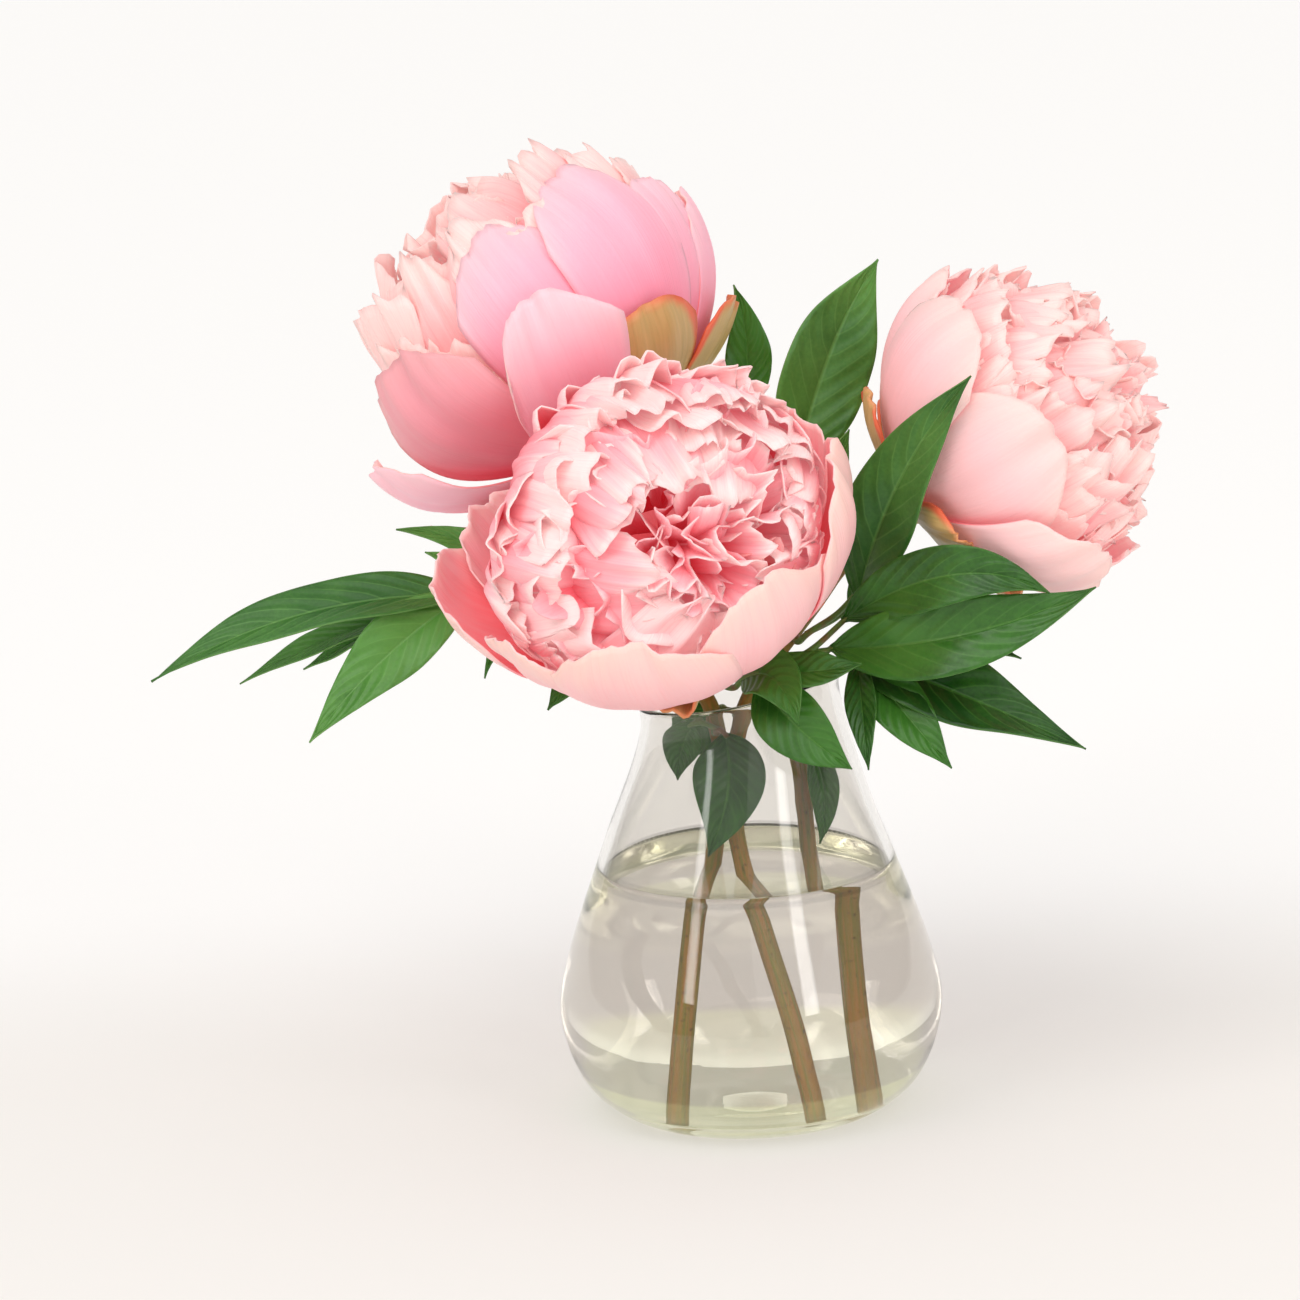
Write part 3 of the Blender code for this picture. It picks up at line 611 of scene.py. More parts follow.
GUARD_INNER = PetalFinish(
    "petal_inner",
    ((0.00, (0.80, 0.04, 0.06)), (0.40, (0.90, 0.10, 0.13)), (0.66, (0.95, 0.28, 0.31)),
     (0.86, (0.96, 0.46, 0.49)), (1.00, (0.98, 0.64, 0.62))), (0.98, 0.62, 0.62))
CORAL_RUFFLE = PetalFinish(
    "petal_coral_ruffle",
    ((0.00, (0.84, 0.05, 0.08)), (0.34, (0.93, 0.16, 0.21)), (0.56, (0.97, 0.33, 0.38)),
     (0.80, (0.98, 0.49, 0.53)), (1.00, (1.00, 0.74, 0.72))), (1.00, 0.70, 0.70), streak=0.30,
    variety=0.48)
PALE_RUFFLE = PetalFinish(
    "petal_pale_ruffle",
    ((0.00, (0.92, 0.16, 0.20)), (0.34, (0.97, 0.32, 0.35)), (0.60, (0.98, 0.46, 0.47)),
     (0.82, (0.98, 0.57, 0.56)), (1.00, (1.00, 0.70, 0.66))), (1.0, 0.68, 0.66), streak=0.30,
    variety=0.34)
# The lit pair of leaf finishes, then the shaded pair: the same leaf darker, as painted shade for the
# leaves low down, behind the blooms and under them.
LEAF_LIT = LeafFinish("leaf_lit_top", (0.022, 0.110, 0.012), (0.105, 0.290, 0.050),
                        (0.180, 0.400, 0.100), 0.40)
LEAF_LIT_BACK = LeafFinish("leaf_lit_under", (0.080, 0.200, 0.045), (0.150, 0.320, 0.080),
                             (0.240, 0.420, 0.140), 0.55, 0.5)
LEAF_SHADED = LeafFinish("leaf_shaded_top", (0.008, 0.050, 0.005), (0.055, 0.200, 0.022),
                       (0.110, 0.280, 0.050), 0.34)
LEAF_SHADED_BACK = LeafFinish("leaf_shaded_under", (0.045, 0.130, 0.020), (0.095, 0.230, 0.045),
                            (0.180, 0.330, 0.085), 0.55, 0.5)
# The glass's grey-beige clear colour is mostly painted shade, standing in for the darker
# surroundings seen through it; its glow is painted light in the foot.
GLASS = ClearFinish("clear_glass", 1.47, (0.880, 0.862, 0.835), (0.940, 0.938, 0.845), 15.0,
                    0.20, 0.93, glow=(0.032, 0.034, 0.021), painted_line_heights=(71.8, 74.4))
WATER = ClearFinish("clear_water", 1.333, (0.980, 0.972, 0.955), (0.975, 0.976, 0.900), 15.0,
                    0.05, 0.98)


# ---------------------------------------------------------------------------------------------
# Curves and meshes
# ---------------------------------------------------------------------------------------------

def smooth_path(points: Sequence[Sequence[float]], count: int) -> list[Vector]:
    """Run one smooth curve through the given points.

    Args:
        points: where it passes.
        count: how many points of it to return.

    Returns:
        The points along it, evenly shared between the given ones.
    """
    knots = [Vector(point) for point in points]
    knots = [2 * knots[0] - knots[1]] + knots + [2 * knots[-1] - knots[-2]]
    spans = len(knots) - 3
    path = []
    for step in range(count):
        place = spans * step / (count - 1)
        span = min(int(place), spans - 1)
        s = place - span
        before, start, end, after = knots[span:span + 4]
        path.append(0.5 * (2 * start + (end - before) * s
                           + (2 * before - 5 * start + 4 * end - after) * s ** 2
                           + (3 * start - 3 * end + after - before) * s ** 3))
    return path


def smooth_step(value: float) -> float:
    """Ease from 0 to 1."""
    value = min(max(value, 0.0), 1.0)
    return value * value * (3.0 - 2.0 * value)


def flutter(across: float, pitch: float, offset: float, row: float) -> float:
    """Return a smooth random swing about 0 that changes over a sheet's width."""
    return noise.noise(Vector((across * pitch, offset, row)))


@dataclass(frozen=True)
class Wave:
    """A wave over a sheet's width that grows to its rim; its height is in millimetres."""
    height: float
    half_turns: float
    growth: float
    start: float

    def lift(self, across: float, along: float) -> float:
        """Return how far the wave lifts the sheet there."""
        swing = math.sin(self.half_turns * math.pi * across + self.start)
        return self.height * along ** self.growth * swing


class Sheets:
    """Waved sheets and tubes gathered in one mesh, with the attributes their finish reads."""

    def __init__(self) -> None:
        """Start an empty mesh that carries along, across and tint."""
        self.bm = bmesh.new()
        self.along = self.bm.verts.layers.float.new("along")
        self.across = self.bm.verts.layers.float.new("across")
        self.tint = self.bm.verts.layers.float.new("tint")

    def add(self, shape: Shape, grid: tuple[int, int], tint: float) -> None:
        """Add a sheet.

        Args:
            shape: the place in millimetres for across in -1..1 and along in 0..1.
            grid: cells along and across.
            tint: the sheet's own shade, 0 to 1.
        """
        rows, columns = grid
        made = bmesh.ops.create_grid(self.bm, x_segments=rows, y_segments=columns, size=1.0)
        for vert in made["verts"]:
            across, along = vert.co.y, (vert.co.x + 1.0) / 2.0
            vert.co = shape(across, along)
            vert[self.along] = along
            vert[self.across] = across
            vert[self.tint] = tint
        bmesh.ops.remove_doubles(self.bm, verts=made["verts"], dist=WELD)

    def add_tube(self, path: list[Vector], radius: Callable[[float, float], float],
                 sides: int, tint: float) -> None:
        """Add a tube with rounded closed ends along a path.

        Args:
            path: its middle line.
            radius: the radius at along 0..1 and at an angle round the path.
            sides: faces round it.
            tint: its own shade, 0 to 1.
        """
        last = len(path) - 1
        frames = []
        side = (path[1] - path[0]).orthogonal().normalized()
        for index in range(last + 1):
            run = (path[min(index + 1, last)] - path[max(index - 1, 0)]).normalized()
            side = (side - run * side.dot(run)).normalized()
            frames.append((path[index], side, run.cross(side)))
        rings = [0] + list(range(last + 1)) + [last]
        made = bmesh.ops.create_grid(self.bm, x_segments=len(rings) - 1, y_segments=sides, size=1.0)
        for vert in made["verts"]:
            row = round((vert.co.x + 1.0) / 2.0 * (len(rings) - 1))
            angle = math.pi * vert.co.y
            middle, first, second = frames[rings[row]]
            along = rings[row] / last
            reach = 0.0 if row in (0, len(rings) - 1) else radius(along, angle)
            vert.co = middle + (first * math.cos(angle) - second * math.sin(angle)) * reach
            vert[self.along] = along
            vert[self.across] = angle / math.pi
            vert[self.tint] = tint
        bmesh.ops.remove_doubles(self.bm, verts=made["verts"], dist=WELD)

    def finish(self, name: str, materials: Sequence[bpy.types.Material],
               thickness: float = 0.0, place: Matrix | None = None) -> bpy.types.Object:
        """Turn the sheets into a smooth object at the origin.

        Args:
            name: the piece's name.
            materials: one finish, or an outer and an inner one.
            thickness: of the sheets, in millimetres; 0 for closed tubes.
            place: moves the mesh before it is made metres.

        Returns:
            The new object.
        """
        if place is not None:
            bmesh.ops.transform(self.bm, matrix=place, verts=self.bm.verts)
        bmesh.ops.scale(self.bm, vec=(MM, MM, MM), verts=self.bm.verts)
        piece = new_object(name, self.bm)
        for material in materials:
            piece.data.materials.append(material)
        if thickness:
            solidify = piece.modifiers.new("thickness", "SOLIDIFY")
            solidify.thickness = thickness * MM
            solidify.offset = 0.0
            solidify.material_offset = len(materials) - 1
        return piece


def new_object(name: str, bm: bmesh.types.BMesh) -> bpy.types.Object:
    """Make a smooth-shaded object of a bmesh and free the bmesh.

    Args:
        name: the piece's name.
        bm: its mesh, in metres.

    Returns:
        The new object, at the origin.
    """
    mesh = bpy.data.meshes.new(name)
    bm.to_mesh(mesh)
    bm.free()
    mesh.shade_smooth()
    piece = bpy.data.objects.new(name, mesh)
    bpy.context.scene.collection.objects.link(piece)
    return piece


def settle(piece: bpy.types.Object, slot: str, *nodes: str) -> None:
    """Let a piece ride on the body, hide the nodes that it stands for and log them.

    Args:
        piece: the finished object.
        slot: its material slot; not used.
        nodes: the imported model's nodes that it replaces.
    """
    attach(piece, BODY)
    if nodes:
        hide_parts(*nodes)
    LOG.info("%s: %d vertices, stands for %s", piece.name, len(piece.data.vertices),
             ", ".join(nodes) or "nothing")


# ---------------------------------------------------------------------------------------------
# Vase and water
# ---------------------------------------------------------------------------------------------

@dataclass
class Vase:
    """The blown glass: a conical body, a slanted mouth and a rounded lip, with its water.

    wall and foot_ring are (radius, height) pairs. corner is the inner corner at the floor: how
    far each point is in from the wall, and how high over the floor.
    """
    wall: tuple[Pair, ...] = ((37.5, 0.0), (43.0, 3.2), (49.5, 9.5), (54.4, 20.0), (56.2, 33.0),
                               (52.4, 50.0), (44.6, 72.5), (36.4, 95.0), (31.6, 110.0),
                               (29.3, 120.0), (29.4, 126.5))
    corner: tuple[Pair, ...] = ((13.0, 0.0), (6.0, 0.5), (2.4, 2.2))
    foot_ring: tuple[Pair, ...] = ((38.6, 0.55), (37.4, 0.12), (36.0, 0.0), (31.0, 0.0),
                                    (27.0, 0.9), (0.0, 1.2))
    corner_height: float = 5.0
    corner_steps: int = 13
    wall_steps: int = 61
    turn_steps: int = 144
    thickness: float = 2.5
    floor_thickness: float = 5.6
    mouth_height: float = 126.5
    mouth_slant: float = math.radians(10.0)
    slant_start: float = 84.0
    lip_height: float = 1.1
    lip_steps: int = 9
    foot_edge: float = 1.2
    water_level: float = 73.0
    water_overlap: float = 0.25
    meniscus_height: float = 1.0
    meniscus_reach: float = 2.4
    meniscus_fall: float = 2.5
    meniscus_steps: int = 10

    def wall_line(self, inset: float) -> list[Pair]:
        """Offset the outer wall inwards, square to itself.

        Args:
            inset: how far, in millimetres.

        Returns:
            The line's (radius, height) pairs, from the foot up.
        """
        wall = smooth_path([(radius, 0.0, height) for radius, height in self.wall],
                           self.wall_steps)
        line = []
        for index, point in enumerate(wall):
            ahead = wall[min(index + 1, len(wall) - 1)]
            behind = wall[max(index - 1, 0)]
            run = (ahead - behind).normalized()
            line.append((point.x - run.z * inset, point.z + run.x * inset))
        return line

    def inner_line(self, inset: float, floor: float, ceiling: float) -> list[Pair]:
        """Follow the inner wall from the floor's middle, round its corner and up.

        Args:
            inset: how far it is inside the outer wall.
            floor: the height of the floor.
            ceiling: the height where the line stops.

        Returns:
            The line's (radius, height) pairs.
        """
        wall = [point for point in self.wall_line(inset)
                if floor + self.corner_height < point[1] < ceiling]
        corner = [(wall[0][0] - away, floor + rise) for away, rise in self.corner]
        bend = smooth_path([(radius, 0.0, height) for radius, height in corner + wall[:2]],
                           self.corner_steps)
        return [(0.0, floor)] + [(point.x, point.z) for point in bend] + wall[2:]

    def slanted(self, bm: bmesh.types.BMesh) -> None:
        """Slant the mouth: the wall above the start of the slant rises towards +X.

        Args:
            bm: the upright glass, in millimetres.
        """
        for vert in bm.verts:
            share = smooth_step((vert.co.z - self.slant_start)
                                / (self.mouth_height - self.slant_start))
            vert.co.z += vert.co.x * math.tan(self.mouth_slant) * share

    def turned(self, profile: Iterable[Pair]) -> bmesh.types.BMesh:
        """Spin a profile about the axis into a closed shell.

        Args:
            profile: its (radius, height) pairs.

        Returns:
            The shell, in millimetres.
        """
        bm = bmesh.new()
        verts = [bm.verts.new((radius, 0.0, height)) for radius, height in profile]
        edges = [bm.edges.new(pair) for pair in zip(verts, verts[1:])]
        bmesh.ops.spin(bm, geom=verts + edges, cent=(0.0, 0.0, 0.0), axis=(0.0, 0.0, 1.0),
                       angle=TURN, steps=self.turn_steps, use_merge=True)
        bmesh.ops.remove_doubles(bm, verts=bm.verts, dist=WELD)
        bmesh.ops.recalc_face_normals(bm, faces=bm.faces)
        return bm

    def make_glass(self) -> bpy.types.Object:
        """Blow the vase.

        Returns:
            The glass.
        """
        inner = self.inner_line(self.thickness, self.floor_thickness, self.mouth_height)
        outer = [point for point in self.wall_line(0.0) if point[1] > self.foot_edge]
        middle = (inner[-1][0] + outer[-1][0]) / 2.0
        half = (outer[-1][0] - inner[-1][0]) / 2.0
        lip = []
        for step in range(1, self.lip_steps):
            turn = math.pi * (1.0 - step / self.lip_steps)
            lip.append((middle + half * math.cos(turn),
                        self.mouth_height + self.lip_height * math.sin(turn)))
        bm = self.turned(inner + lip + outer[::-1] + list(self.foot_ring))
        self.slanted(bm)
        bmesh.ops.scale(bm, vec=(MM, MM, MM), verts=bm.verts)
        piece = new_object("glass_vase", bm)
        piece.data.materials.append(GLASS.make())
        return piece

    def make_water(self) -> bpy.types.Object:
        """Pour the water: it wets the glass and climbs it a little at its edge.

        Returns:
            The water.
        """
        inset = self.thickness - self.water_overlap
        floor = self.floor_thickness - self.water_overlap
        line = self.inner_line(inset, floor, self.water_level)
        rim = line[-1][0]
        edge = []
        for step in range(self.meniscus_steps):
            share = step / self.meniscus_steps
            edge.append((rim - self.meniscus_reach * share,
                         self.water_level
                         + self.meniscus_height * (1.0 - share) ** self.meniscus_fall))
        bm = self.turned(line + edge + [(0.0, self.water_level)])
        bmesh.ops.scale(bm, vec=(MM, MM, MM), verts=bm.verts)
        piece = new_object("water_in_vase", bm)
        piece.data.materials.append(WATER.make())
        return piece

    def build(self) -> None:
        """Make and settle the vase and its water."""
        settle(self.make_glass(), "vase_glass", "vase")
        settle(self.make_water(), "water", "water")


# ---------------------------------------------------------------------------------------------
# Flowers
# ---------------------------------------------------------------------------------------------

@dataclass(frozen=True)
class Petal:
    """A guard petal or sepal on its bloom's bowl; angles are degrees.

    azimuth runs round the bloom's axis from its upper side, reach is how far up the bowl's
    curve the rim comes, lean tips the petal open, lift sets it outside the bowl, sweep turns
    its rim on round the axis and curl rolls its rim in (or out, below 0), in millimetres.
    """
    azimuth: float
    reach: float
    width: float
    lean: float = 0.0
    lift: float = 0.0
    sweep: float = 0.0
    curl: float = 0.0
    tint: float = 0.4


@dataclass(frozen=True)
class Layer:
    """One layer of heart petals that arch over the dome.

    radius is the share of the heart's own; rim and root are angles from the eye, in degrees;
    sink is how far the roots lie deeper, and flare how far the rims stand off, in millimetres.
    """
    radius: float
    rim: float
    count: int
    root: float = 118.0
    sink: float = 10.0
    flare: Pair = (-2.0, 3.5)


LAYERS = (Layer(1.05, 82, 16, flare=(-2, 5)), Layer(1.05, 70, 15, flare=(-2, 7)),
          Layer(1.04, 58, 14, flare=(-2, 8)), Layer(1.03, 46, 12, root=106, flare=(-1, 8)),
          Layer(1.00, 34, 10, root=96, flare=(0, 8)), Layer(0.96, 22, 7, root=86, flare=(0, 6)))
INNER_RINGS = ((6, 4), (15, 8), (27, 12), (40, 15), (53, 17), (67, 16))
# The stem's head as (radius, 0, height) under the bloom's base, for a bloom of size 1.
HEAD_PROFILE = ((3.0, 0.0, -12.0), (3.7, 0.0, -9.6), (5.2, 0.0, -8.0), (7.6, 0.0, -6.0),
                (8.2, 0.0, -4.4), (6.4, 0.0, -3.1))


@dataclass(frozen=True)
class BowlManner:
    """How guard petals and sepals are cut and waved; the lengths are millimetres.

    Notches are broad and nicks are fine cuts in the rim, corner and shoulder round it off, wave,
    slow and fine are its ripples, and rim and roll bend its last part in or out.
    """
    grid: tuple[int, int] = (30, 26)
    notch_pitch: float = 2.2
    nick_pitch: float = 6.0
    nick: float = 0.3
    corner: float = 0.10
    shoulder: float = 0.12
    swell_start: float = 0.02
    swell_run: float = 0.70
    tightest: float = 0.8
    wave: float = 0.7
    slow: Pair = (0.7, 1.5)
    fine: float = 0.22
    fine_half_turns: float = 14.0 / math.pi
    rim: float = 2.2
    rim_pitch: float = 5.0
    rim_start: float = 0.75
    roll_start: float = 0.6
    lean_run: float = 1.2


@dataclass(frozen=True)
class ShellManner:
    """How the arching heart petals differ; pairs are the ranges of their seeded draws.

    radius, wave, pleat, cupped, crumple and crease are millimetres, rim degrees, and notch, nick
    and point_in shares of the length.
    """
    grid: tuple[int, int] = (16, 21)
    radius: Pair = (-2.5, 2.0)
    rim: Pair = (-13.0, 13.0)
    spread: Pair = (1.2, 1.8)
    wave: Pair = (1.6, 4.2)
    waves: Pair = (1.2, 2.6)
    skew: Pair = (-0.45, 0.45)
    pleat: Pair = (0.4, 1.3)
    pleats: Pair = (3.0, 5.0)
    point_in: Pair = (0.05, 0.22)
    notch: float = 0.10
    notch_pitch: float = 2.4
    nick: float = 0.03
    nick_pitch: float = 6.0
    swell_start: float = 0.14
    swell_run: float = 0.58
    smallest_rim: float = 0.45
    smallest_turn: float = 0.4
    flare_start: float = 0.6
    cupped: float = 2.2
    crumple: float = 1.2
    crumple_pitch: float = 4.5
    crease: float = 4.4
    crease_pitch: Pair = (1.8, 1.6)


@dataclass(frozen=True)
class RuffleManner:
    """How the folded inner petals differ; pairs are the ranges of their seeded draws.

    wave, cup, curl, frill and crease are millimetres, tilt a share of the ring's angle, and
    twist radians.
    """
    grid: tuple[int, int] = (14, 18)
    tilt: Pair = (0.8, 1.2)
    twist: Pair = (-1.0, 1.0)
    wave: Pair = (1.2, 3.4)
    waves: Pair = (1.0, 2.6)
    cup: Pair = (2.0, 8.0)
    curl: Pair = (-3.0, 9.0)
    lean: Pair = (-0.3, 0.3)
    notch: Pair = (0.06, 0.26)
    notch_pitch: float = 2.2
    nick: float = 0.04
    nick_pitch: float = 6.0
    rounding: float = 0.18
    root_share: float = 0.35
    spread_power: float = 0.8
    frill: float = 1.0
    frill_pitch: Pair = (4.0, 2.0)
    crease: float = 2.4
    crease_pitch: Pair = (1.6, 1.4)


BOWL = BowlManner()
SHELL = ShellManner()
RUFFLE = RuffleManner()


@dataclass
class Flower:
    """One peony: stem, calyx, guard petals and ruffled heart.

    base and axis place its bloom, heart is its heart's radius and eye the way that the heart
    opens. layers and inner_rings, as (degrees from the eye, petals) pairs, fill the heart.
    """
    name: str
    base: Point
    axis: Point
    size: float
    heart: float
    eye: Point
    stem: tuple[Point, ...]
    guards: tuple[Petal, ...]
    sepals: tuple[Petal, ...]
    seed: int
    outer: PetalFinish
    ruffle: PetalFinish
    slot: str
    heart_skin: float = 0.45
    guard_skin: float = 0.55
    sepal_skin: float = 0.9
    sepal_grid: tuple[int, int] = (18, 16)
    guard_root: float = 0.12
    guard_rag: float = 0.10
    sepal_root: float = 0.35
    sepal_rag: float = 0.04
    head_steps: int = 16
    head_sides: int = 28
    head_lobes: float = 5.0
    head_lobe: float = 0.03
    stem_steps: int = 90
    stem_sides: int = 22
    knuckles: int = 3
    knuckle_places: Pair = (0.2, 0.9)
    knuckle_heights: Pair = (0.2, 0.5)
    knuckle_length: float = 0.018
    knuckle_share: float = 0.5
    stem_share: float = 0.86
    stem_taper: float = 0.1
    stem_grain: float = 0.10
    grain_pitch: float = 18.0
    bowl_radius: float = 54.0
    bowl_depth: float = 42.0
    root_angle: float = 0.08
    bulge: float = 0.86
    cupping: float = 2.0
    core_middle: float = 31.0
    ruffle_root: float = 17.0
    bowl_share: float = 0.86
    bowl_give: float = 0.3
    layers: tuple[Layer, ...] = LAYERS
    inner_rings: tuple[tuple[float, int], ...] = INNER_RINGS
    ruffle_half: Pair = (6.5, 12.0)
    ruffle_length: Pair = (0.96, 1.15)
    outer_tint: Pair = (0.35, 1.0)
    inner_tint: Pair = (0.0, 0.7)
    stem_radius: float = 2.9
    drop: float = 11.2
    straight: float = 9.0

    def frame(self) -> Matrix:
        """Find the bloom's frame.

        Returns:
            The frame, +Z along the bloom's axis and +X on its upper side.
        """
        axis = Vector(self.axis).normalized()
        upper = (Vector((0.0, 0.0, 1.0)) - axis * axis.z).normalized()
        frame = Matrix((upper, axis.cross(upper), axis)).transposed().to_4x4()
        frame.translation = Vector(self.base)
        return frame

    def stem_path(self, count: int) -> list[Vector]:
        """Run the stem from its foot in the vase to just under its calyx.

        Args:
            count: how many points to return before the last.

        Returns:
            The stem's middle line.
        """
        axis = Vector(self.axis).normalized()
        top = Vector(self.base) - self.drop * self.size * axis
        return smooth_path(list(self.stem) + [top - self.straight * axis], count) + [top]

    def bowl_shape(self, petal: Petal, root_width: float, ragged: float,
                   draw: random.Random) -> Shape:
        """Return the surface of a petal or sepal that hugs the bowl and may lean open.

        Args:
            petal: its place and size.
            root_width: width at the root as a share of the whole.
            ragged: how far the rim's notches cut in, as a share of the length.
            draw: the seeded draw.

        Returns:
            The surface in the bloom's frame.
        """
        wide = self.bowl_radius + petal.lift
        deep = self.bowl_depth + petal.lift
        reach = math.radians(petal.reach)
        pivot = Vector((wide * math.sin(self.root_angle), 0.0, -petal.lift))
        phase = draw.uniform(0.0, TURN)
        waves = (Wave(BOWL.wave, 3.0, 2.0, phase),
                 Wave(draw.uniform(*BOWL.slow), 1.6, 3.0, 1.7 * phase),
                 Wave(BOWL.fine, BOWL.fine_half_turns, 1.0, phase))
        offset = draw.uniform(*NOISE_SPAN)

        def surface(across: float, along: float) -> Vector:
            """Place one point of the petal.

            Args:
                across: -1 to 1.
                along: 0 at the root to 1 at the rim.

            Returns:
                The point, in millimetres in the bloom's frame.
            """
            cut = ragged * max(0.0, flutter(across, BOWL.notch_pitch, offset, 0.0))
            cut += ragged * BOWL.nick * abs(flutter(across, BOWL.nick_pitch, offset, 4.0))
            up = along * (1.0 - BOWL.corner * across ** 2 - BOWL.shoulder * across ** 4 - cut)
            angle = self.root_angle + (reach - self.root_angle) * up
            radius = wide * math.sin(angle)
            height = deep * (1.0 - math.cos(angle)) - petal.lift
            inward = Vector((-deep * math.sin(angle), 0.0, wide * math.cos(angle))).normalized()
            swell = max(math.sin(math.pi * (BOWL.swell_start + BOWL.swell_run * up)), root_width)
            half = petal.width / 2.0 * swell
            wrap = max(abs(radius) * self.bulge, half * BOWL.tightest)
            bend = across * half / wrap
            point = Vector((radius - wrap * (1.0 - math.cos(bend)), wrap * math.sin(bend), height))
            lift = self.cupping * across * across * up
            lift += sum(wave.lift(across, up) for wave in waves)
            lift += (BOWL.rim * flutter(across, BOWL.rim_pitch, offset, 9.0)
                     * smooth_step((along - BOWL.rim_start) / (1.0 - BOWL.rim_start)))
            roll = smooth_step((along - BOWL.roll_start) / (1.0 - BOWL.roll_start))
            point += inward * (lift + petal.curl * roll ** 2)
            lean = math.radians(petal.lean) * smooth_step(along * BOWL.lean_run)
            turn = math.radians(petal.azimuth + petal.sweep * along)
            leant = pivot + Quaternion((0.0, 1.0, 0.0), lean) @ (point - pivot)
            return self.size * (Quaternion((0.0, 0.0, 1.0), turn) @ leant)

        return surface

    def drawn_in(self, reach: float) -> float:
        """Return the share of its reach that a point keeps, so that few are past the bowl."""
        past = max(reach - self.bowl_share, 0.0)
        return 1.0 - past * (1.0 - self.bowl_give) / max(reach, self.bowl_share)

    def kept_inside(self, point: Vector) -> Vector:
        """Draw a point of the heart in until it is inside the bowl of guard petals.

        Args:
            point: the point in the bloom's frame, before its size is taken.

        Returns:
            The point where it may lie.
        """
        middle = Vector((0.0, 0.0, self.bowl_depth))
        away = point - middle
        flat = math.hypot(away.x, away.y)
        if away.z < 0.0:
            reach = math.hypot(flat / self.bowl_radius, away.z / self.bowl_depth)
            return middle + away * self.drawn_in(reach)
        share = self.drawn_in(flat / self.bowl_radius)
        return Vector((point.x * share, point.y * share, point.z))

    def shell_shape(self, layer: Layer, around: float, draw: random.Random) -> Shape:
        """Return the surface of a heart petal that arches over the dome towards its eye.

        Args:
            layer: the layer that it lies in.
            around: its place round the eye, in radians.
            draw: the seeded draw.

        Returns:
            The surface in the bloom's frame.
        """
        eye = self.eye_direction()
        first = eye.orthogonal().normalized()
        second = eye.cross(first)
        radius = self.heart * layer.radius + draw.uniform(*SHELL.radius)
        root = math.radians(layer.root)
        rim = math.radians(layer.rim + draw.uniform(*SHELL.rim))
        half = radius * math.sin(max(rim, SHELL.smallest_rim)) * math.pi / layer.count
        half *= draw.uniform(*SHELL.spread)
        flare = draw.uniform(*layer.flare)
        wave = draw.uniform(*SHELL.wave)
        waves = draw.uniform(*SHELL.waves)
        phase = draw.uniform(0.0, TURN)
        skew = draw.uniform(*SHELL.skew)
        offset = draw.uniform(*NOISE_SPAN)
        pleat = draw.uniform(*SHELL.pleat)
        pleats = draw.uniform(*SHELL.pleats)
        point_in = draw.uniform(*SHELL.point_in)
        ripples = (Wave(wave, waves, 3.0, phase), Wave(pleat, pleats, 1.0, 2.3 * phase))
        middle = Vector((0.0, 0.0, self.core_middle))

        def surface(across: float, along: float) -> Vector:
            """Place one point of the petal.

            Args:
                across: -1 to 1.
                along: 0 at the root to 1 at the rim.

            Returns:
                The point, in millimetres in the bloom's frame.
            """
            cut = point_in * across * across
            cut += SHELL.notch * abs(flutter(across, SHELL.notch_pitch, offset, 2.0))
            cut += SHELL.nick * abs(flutter(across, SHELL.nick_pitch, offset, 7.0))
            up = along * (1.0 - cut * along)
            polar = root + (rim - root) * up
            swell = math.sin(math.pi * (SHELL.swell_start + SHELL.swell_run * up))
            round_eye = radius * max(math.sin(polar), SHELL.smallest_turn)
            turn = around + skew * up + across * half * swell / round_eye
            out = eye * math.cos(polar)
            out += (first * math.cos(turn) + second * math.sin(turn)) * math.sin(polar)
            flared = smooth_step((up - SHELL.flare_start) / (1.0 - SHELL.flare_start)) ** 2
            reach = radius - layer.sink * (1.0 - up) ** 2 + flare * flared
            reach += sum(ripple.lift(across, up) for ripple in ripples)
            reach -= SHELL.cupped * across * across * up
            reach += SHELL.crumple * up ** 3 * noise.noise(
                Vector((across * SHELL.crumple_pitch + offset, up * 2.0, 1.0)))
            wide, long = SHELL.crease_pitch
            crease = noise.noise_vector(Vector((across * wide + offset, up * long, offset)))
            point = middle + out * reach + crease * (SHELL.crease * up)
            return self.size * self.kept_inside(point)

        return surface

    def ruffle_shape(self, out: Vector, inner: Vector, half: float, length: float,
                     draw: random.Random) -> Shape:
        """Return the surface of one inner petal: a cupped, folded fan that rises from the core.

        Args:
            out: the way out from the heart's middle.
            inner: the way that the petal cups, square to out.
            half: half its width at the rim.
            length: how far its rim is from the heart's middle.
            draw: the seeded draw.

        Returns:
            The surface in the bloom's frame.
        """
        side = out.cross(inner)
        wave = draw.uniform(*RUFFLE.wave)
        waves = draw.uniform(*RUFFLE.waves)
        ripple = Wave(wave, waves, 2.0, draw.uniform(0.0, TURN))
        cup = draw.uniform(*RUFFLE.cup)
        curl = draw.uniform(*RUFFLE.curl)
        lean = draw.uniform(*RUFFLE.lean)
        notch = 2.0 * draw.uniform(*RUFFLE.notch)
        offset = draw.uniform(*NOISE_SPAN)
        middle = Vector((0.0, 0.0, self.core_middle))

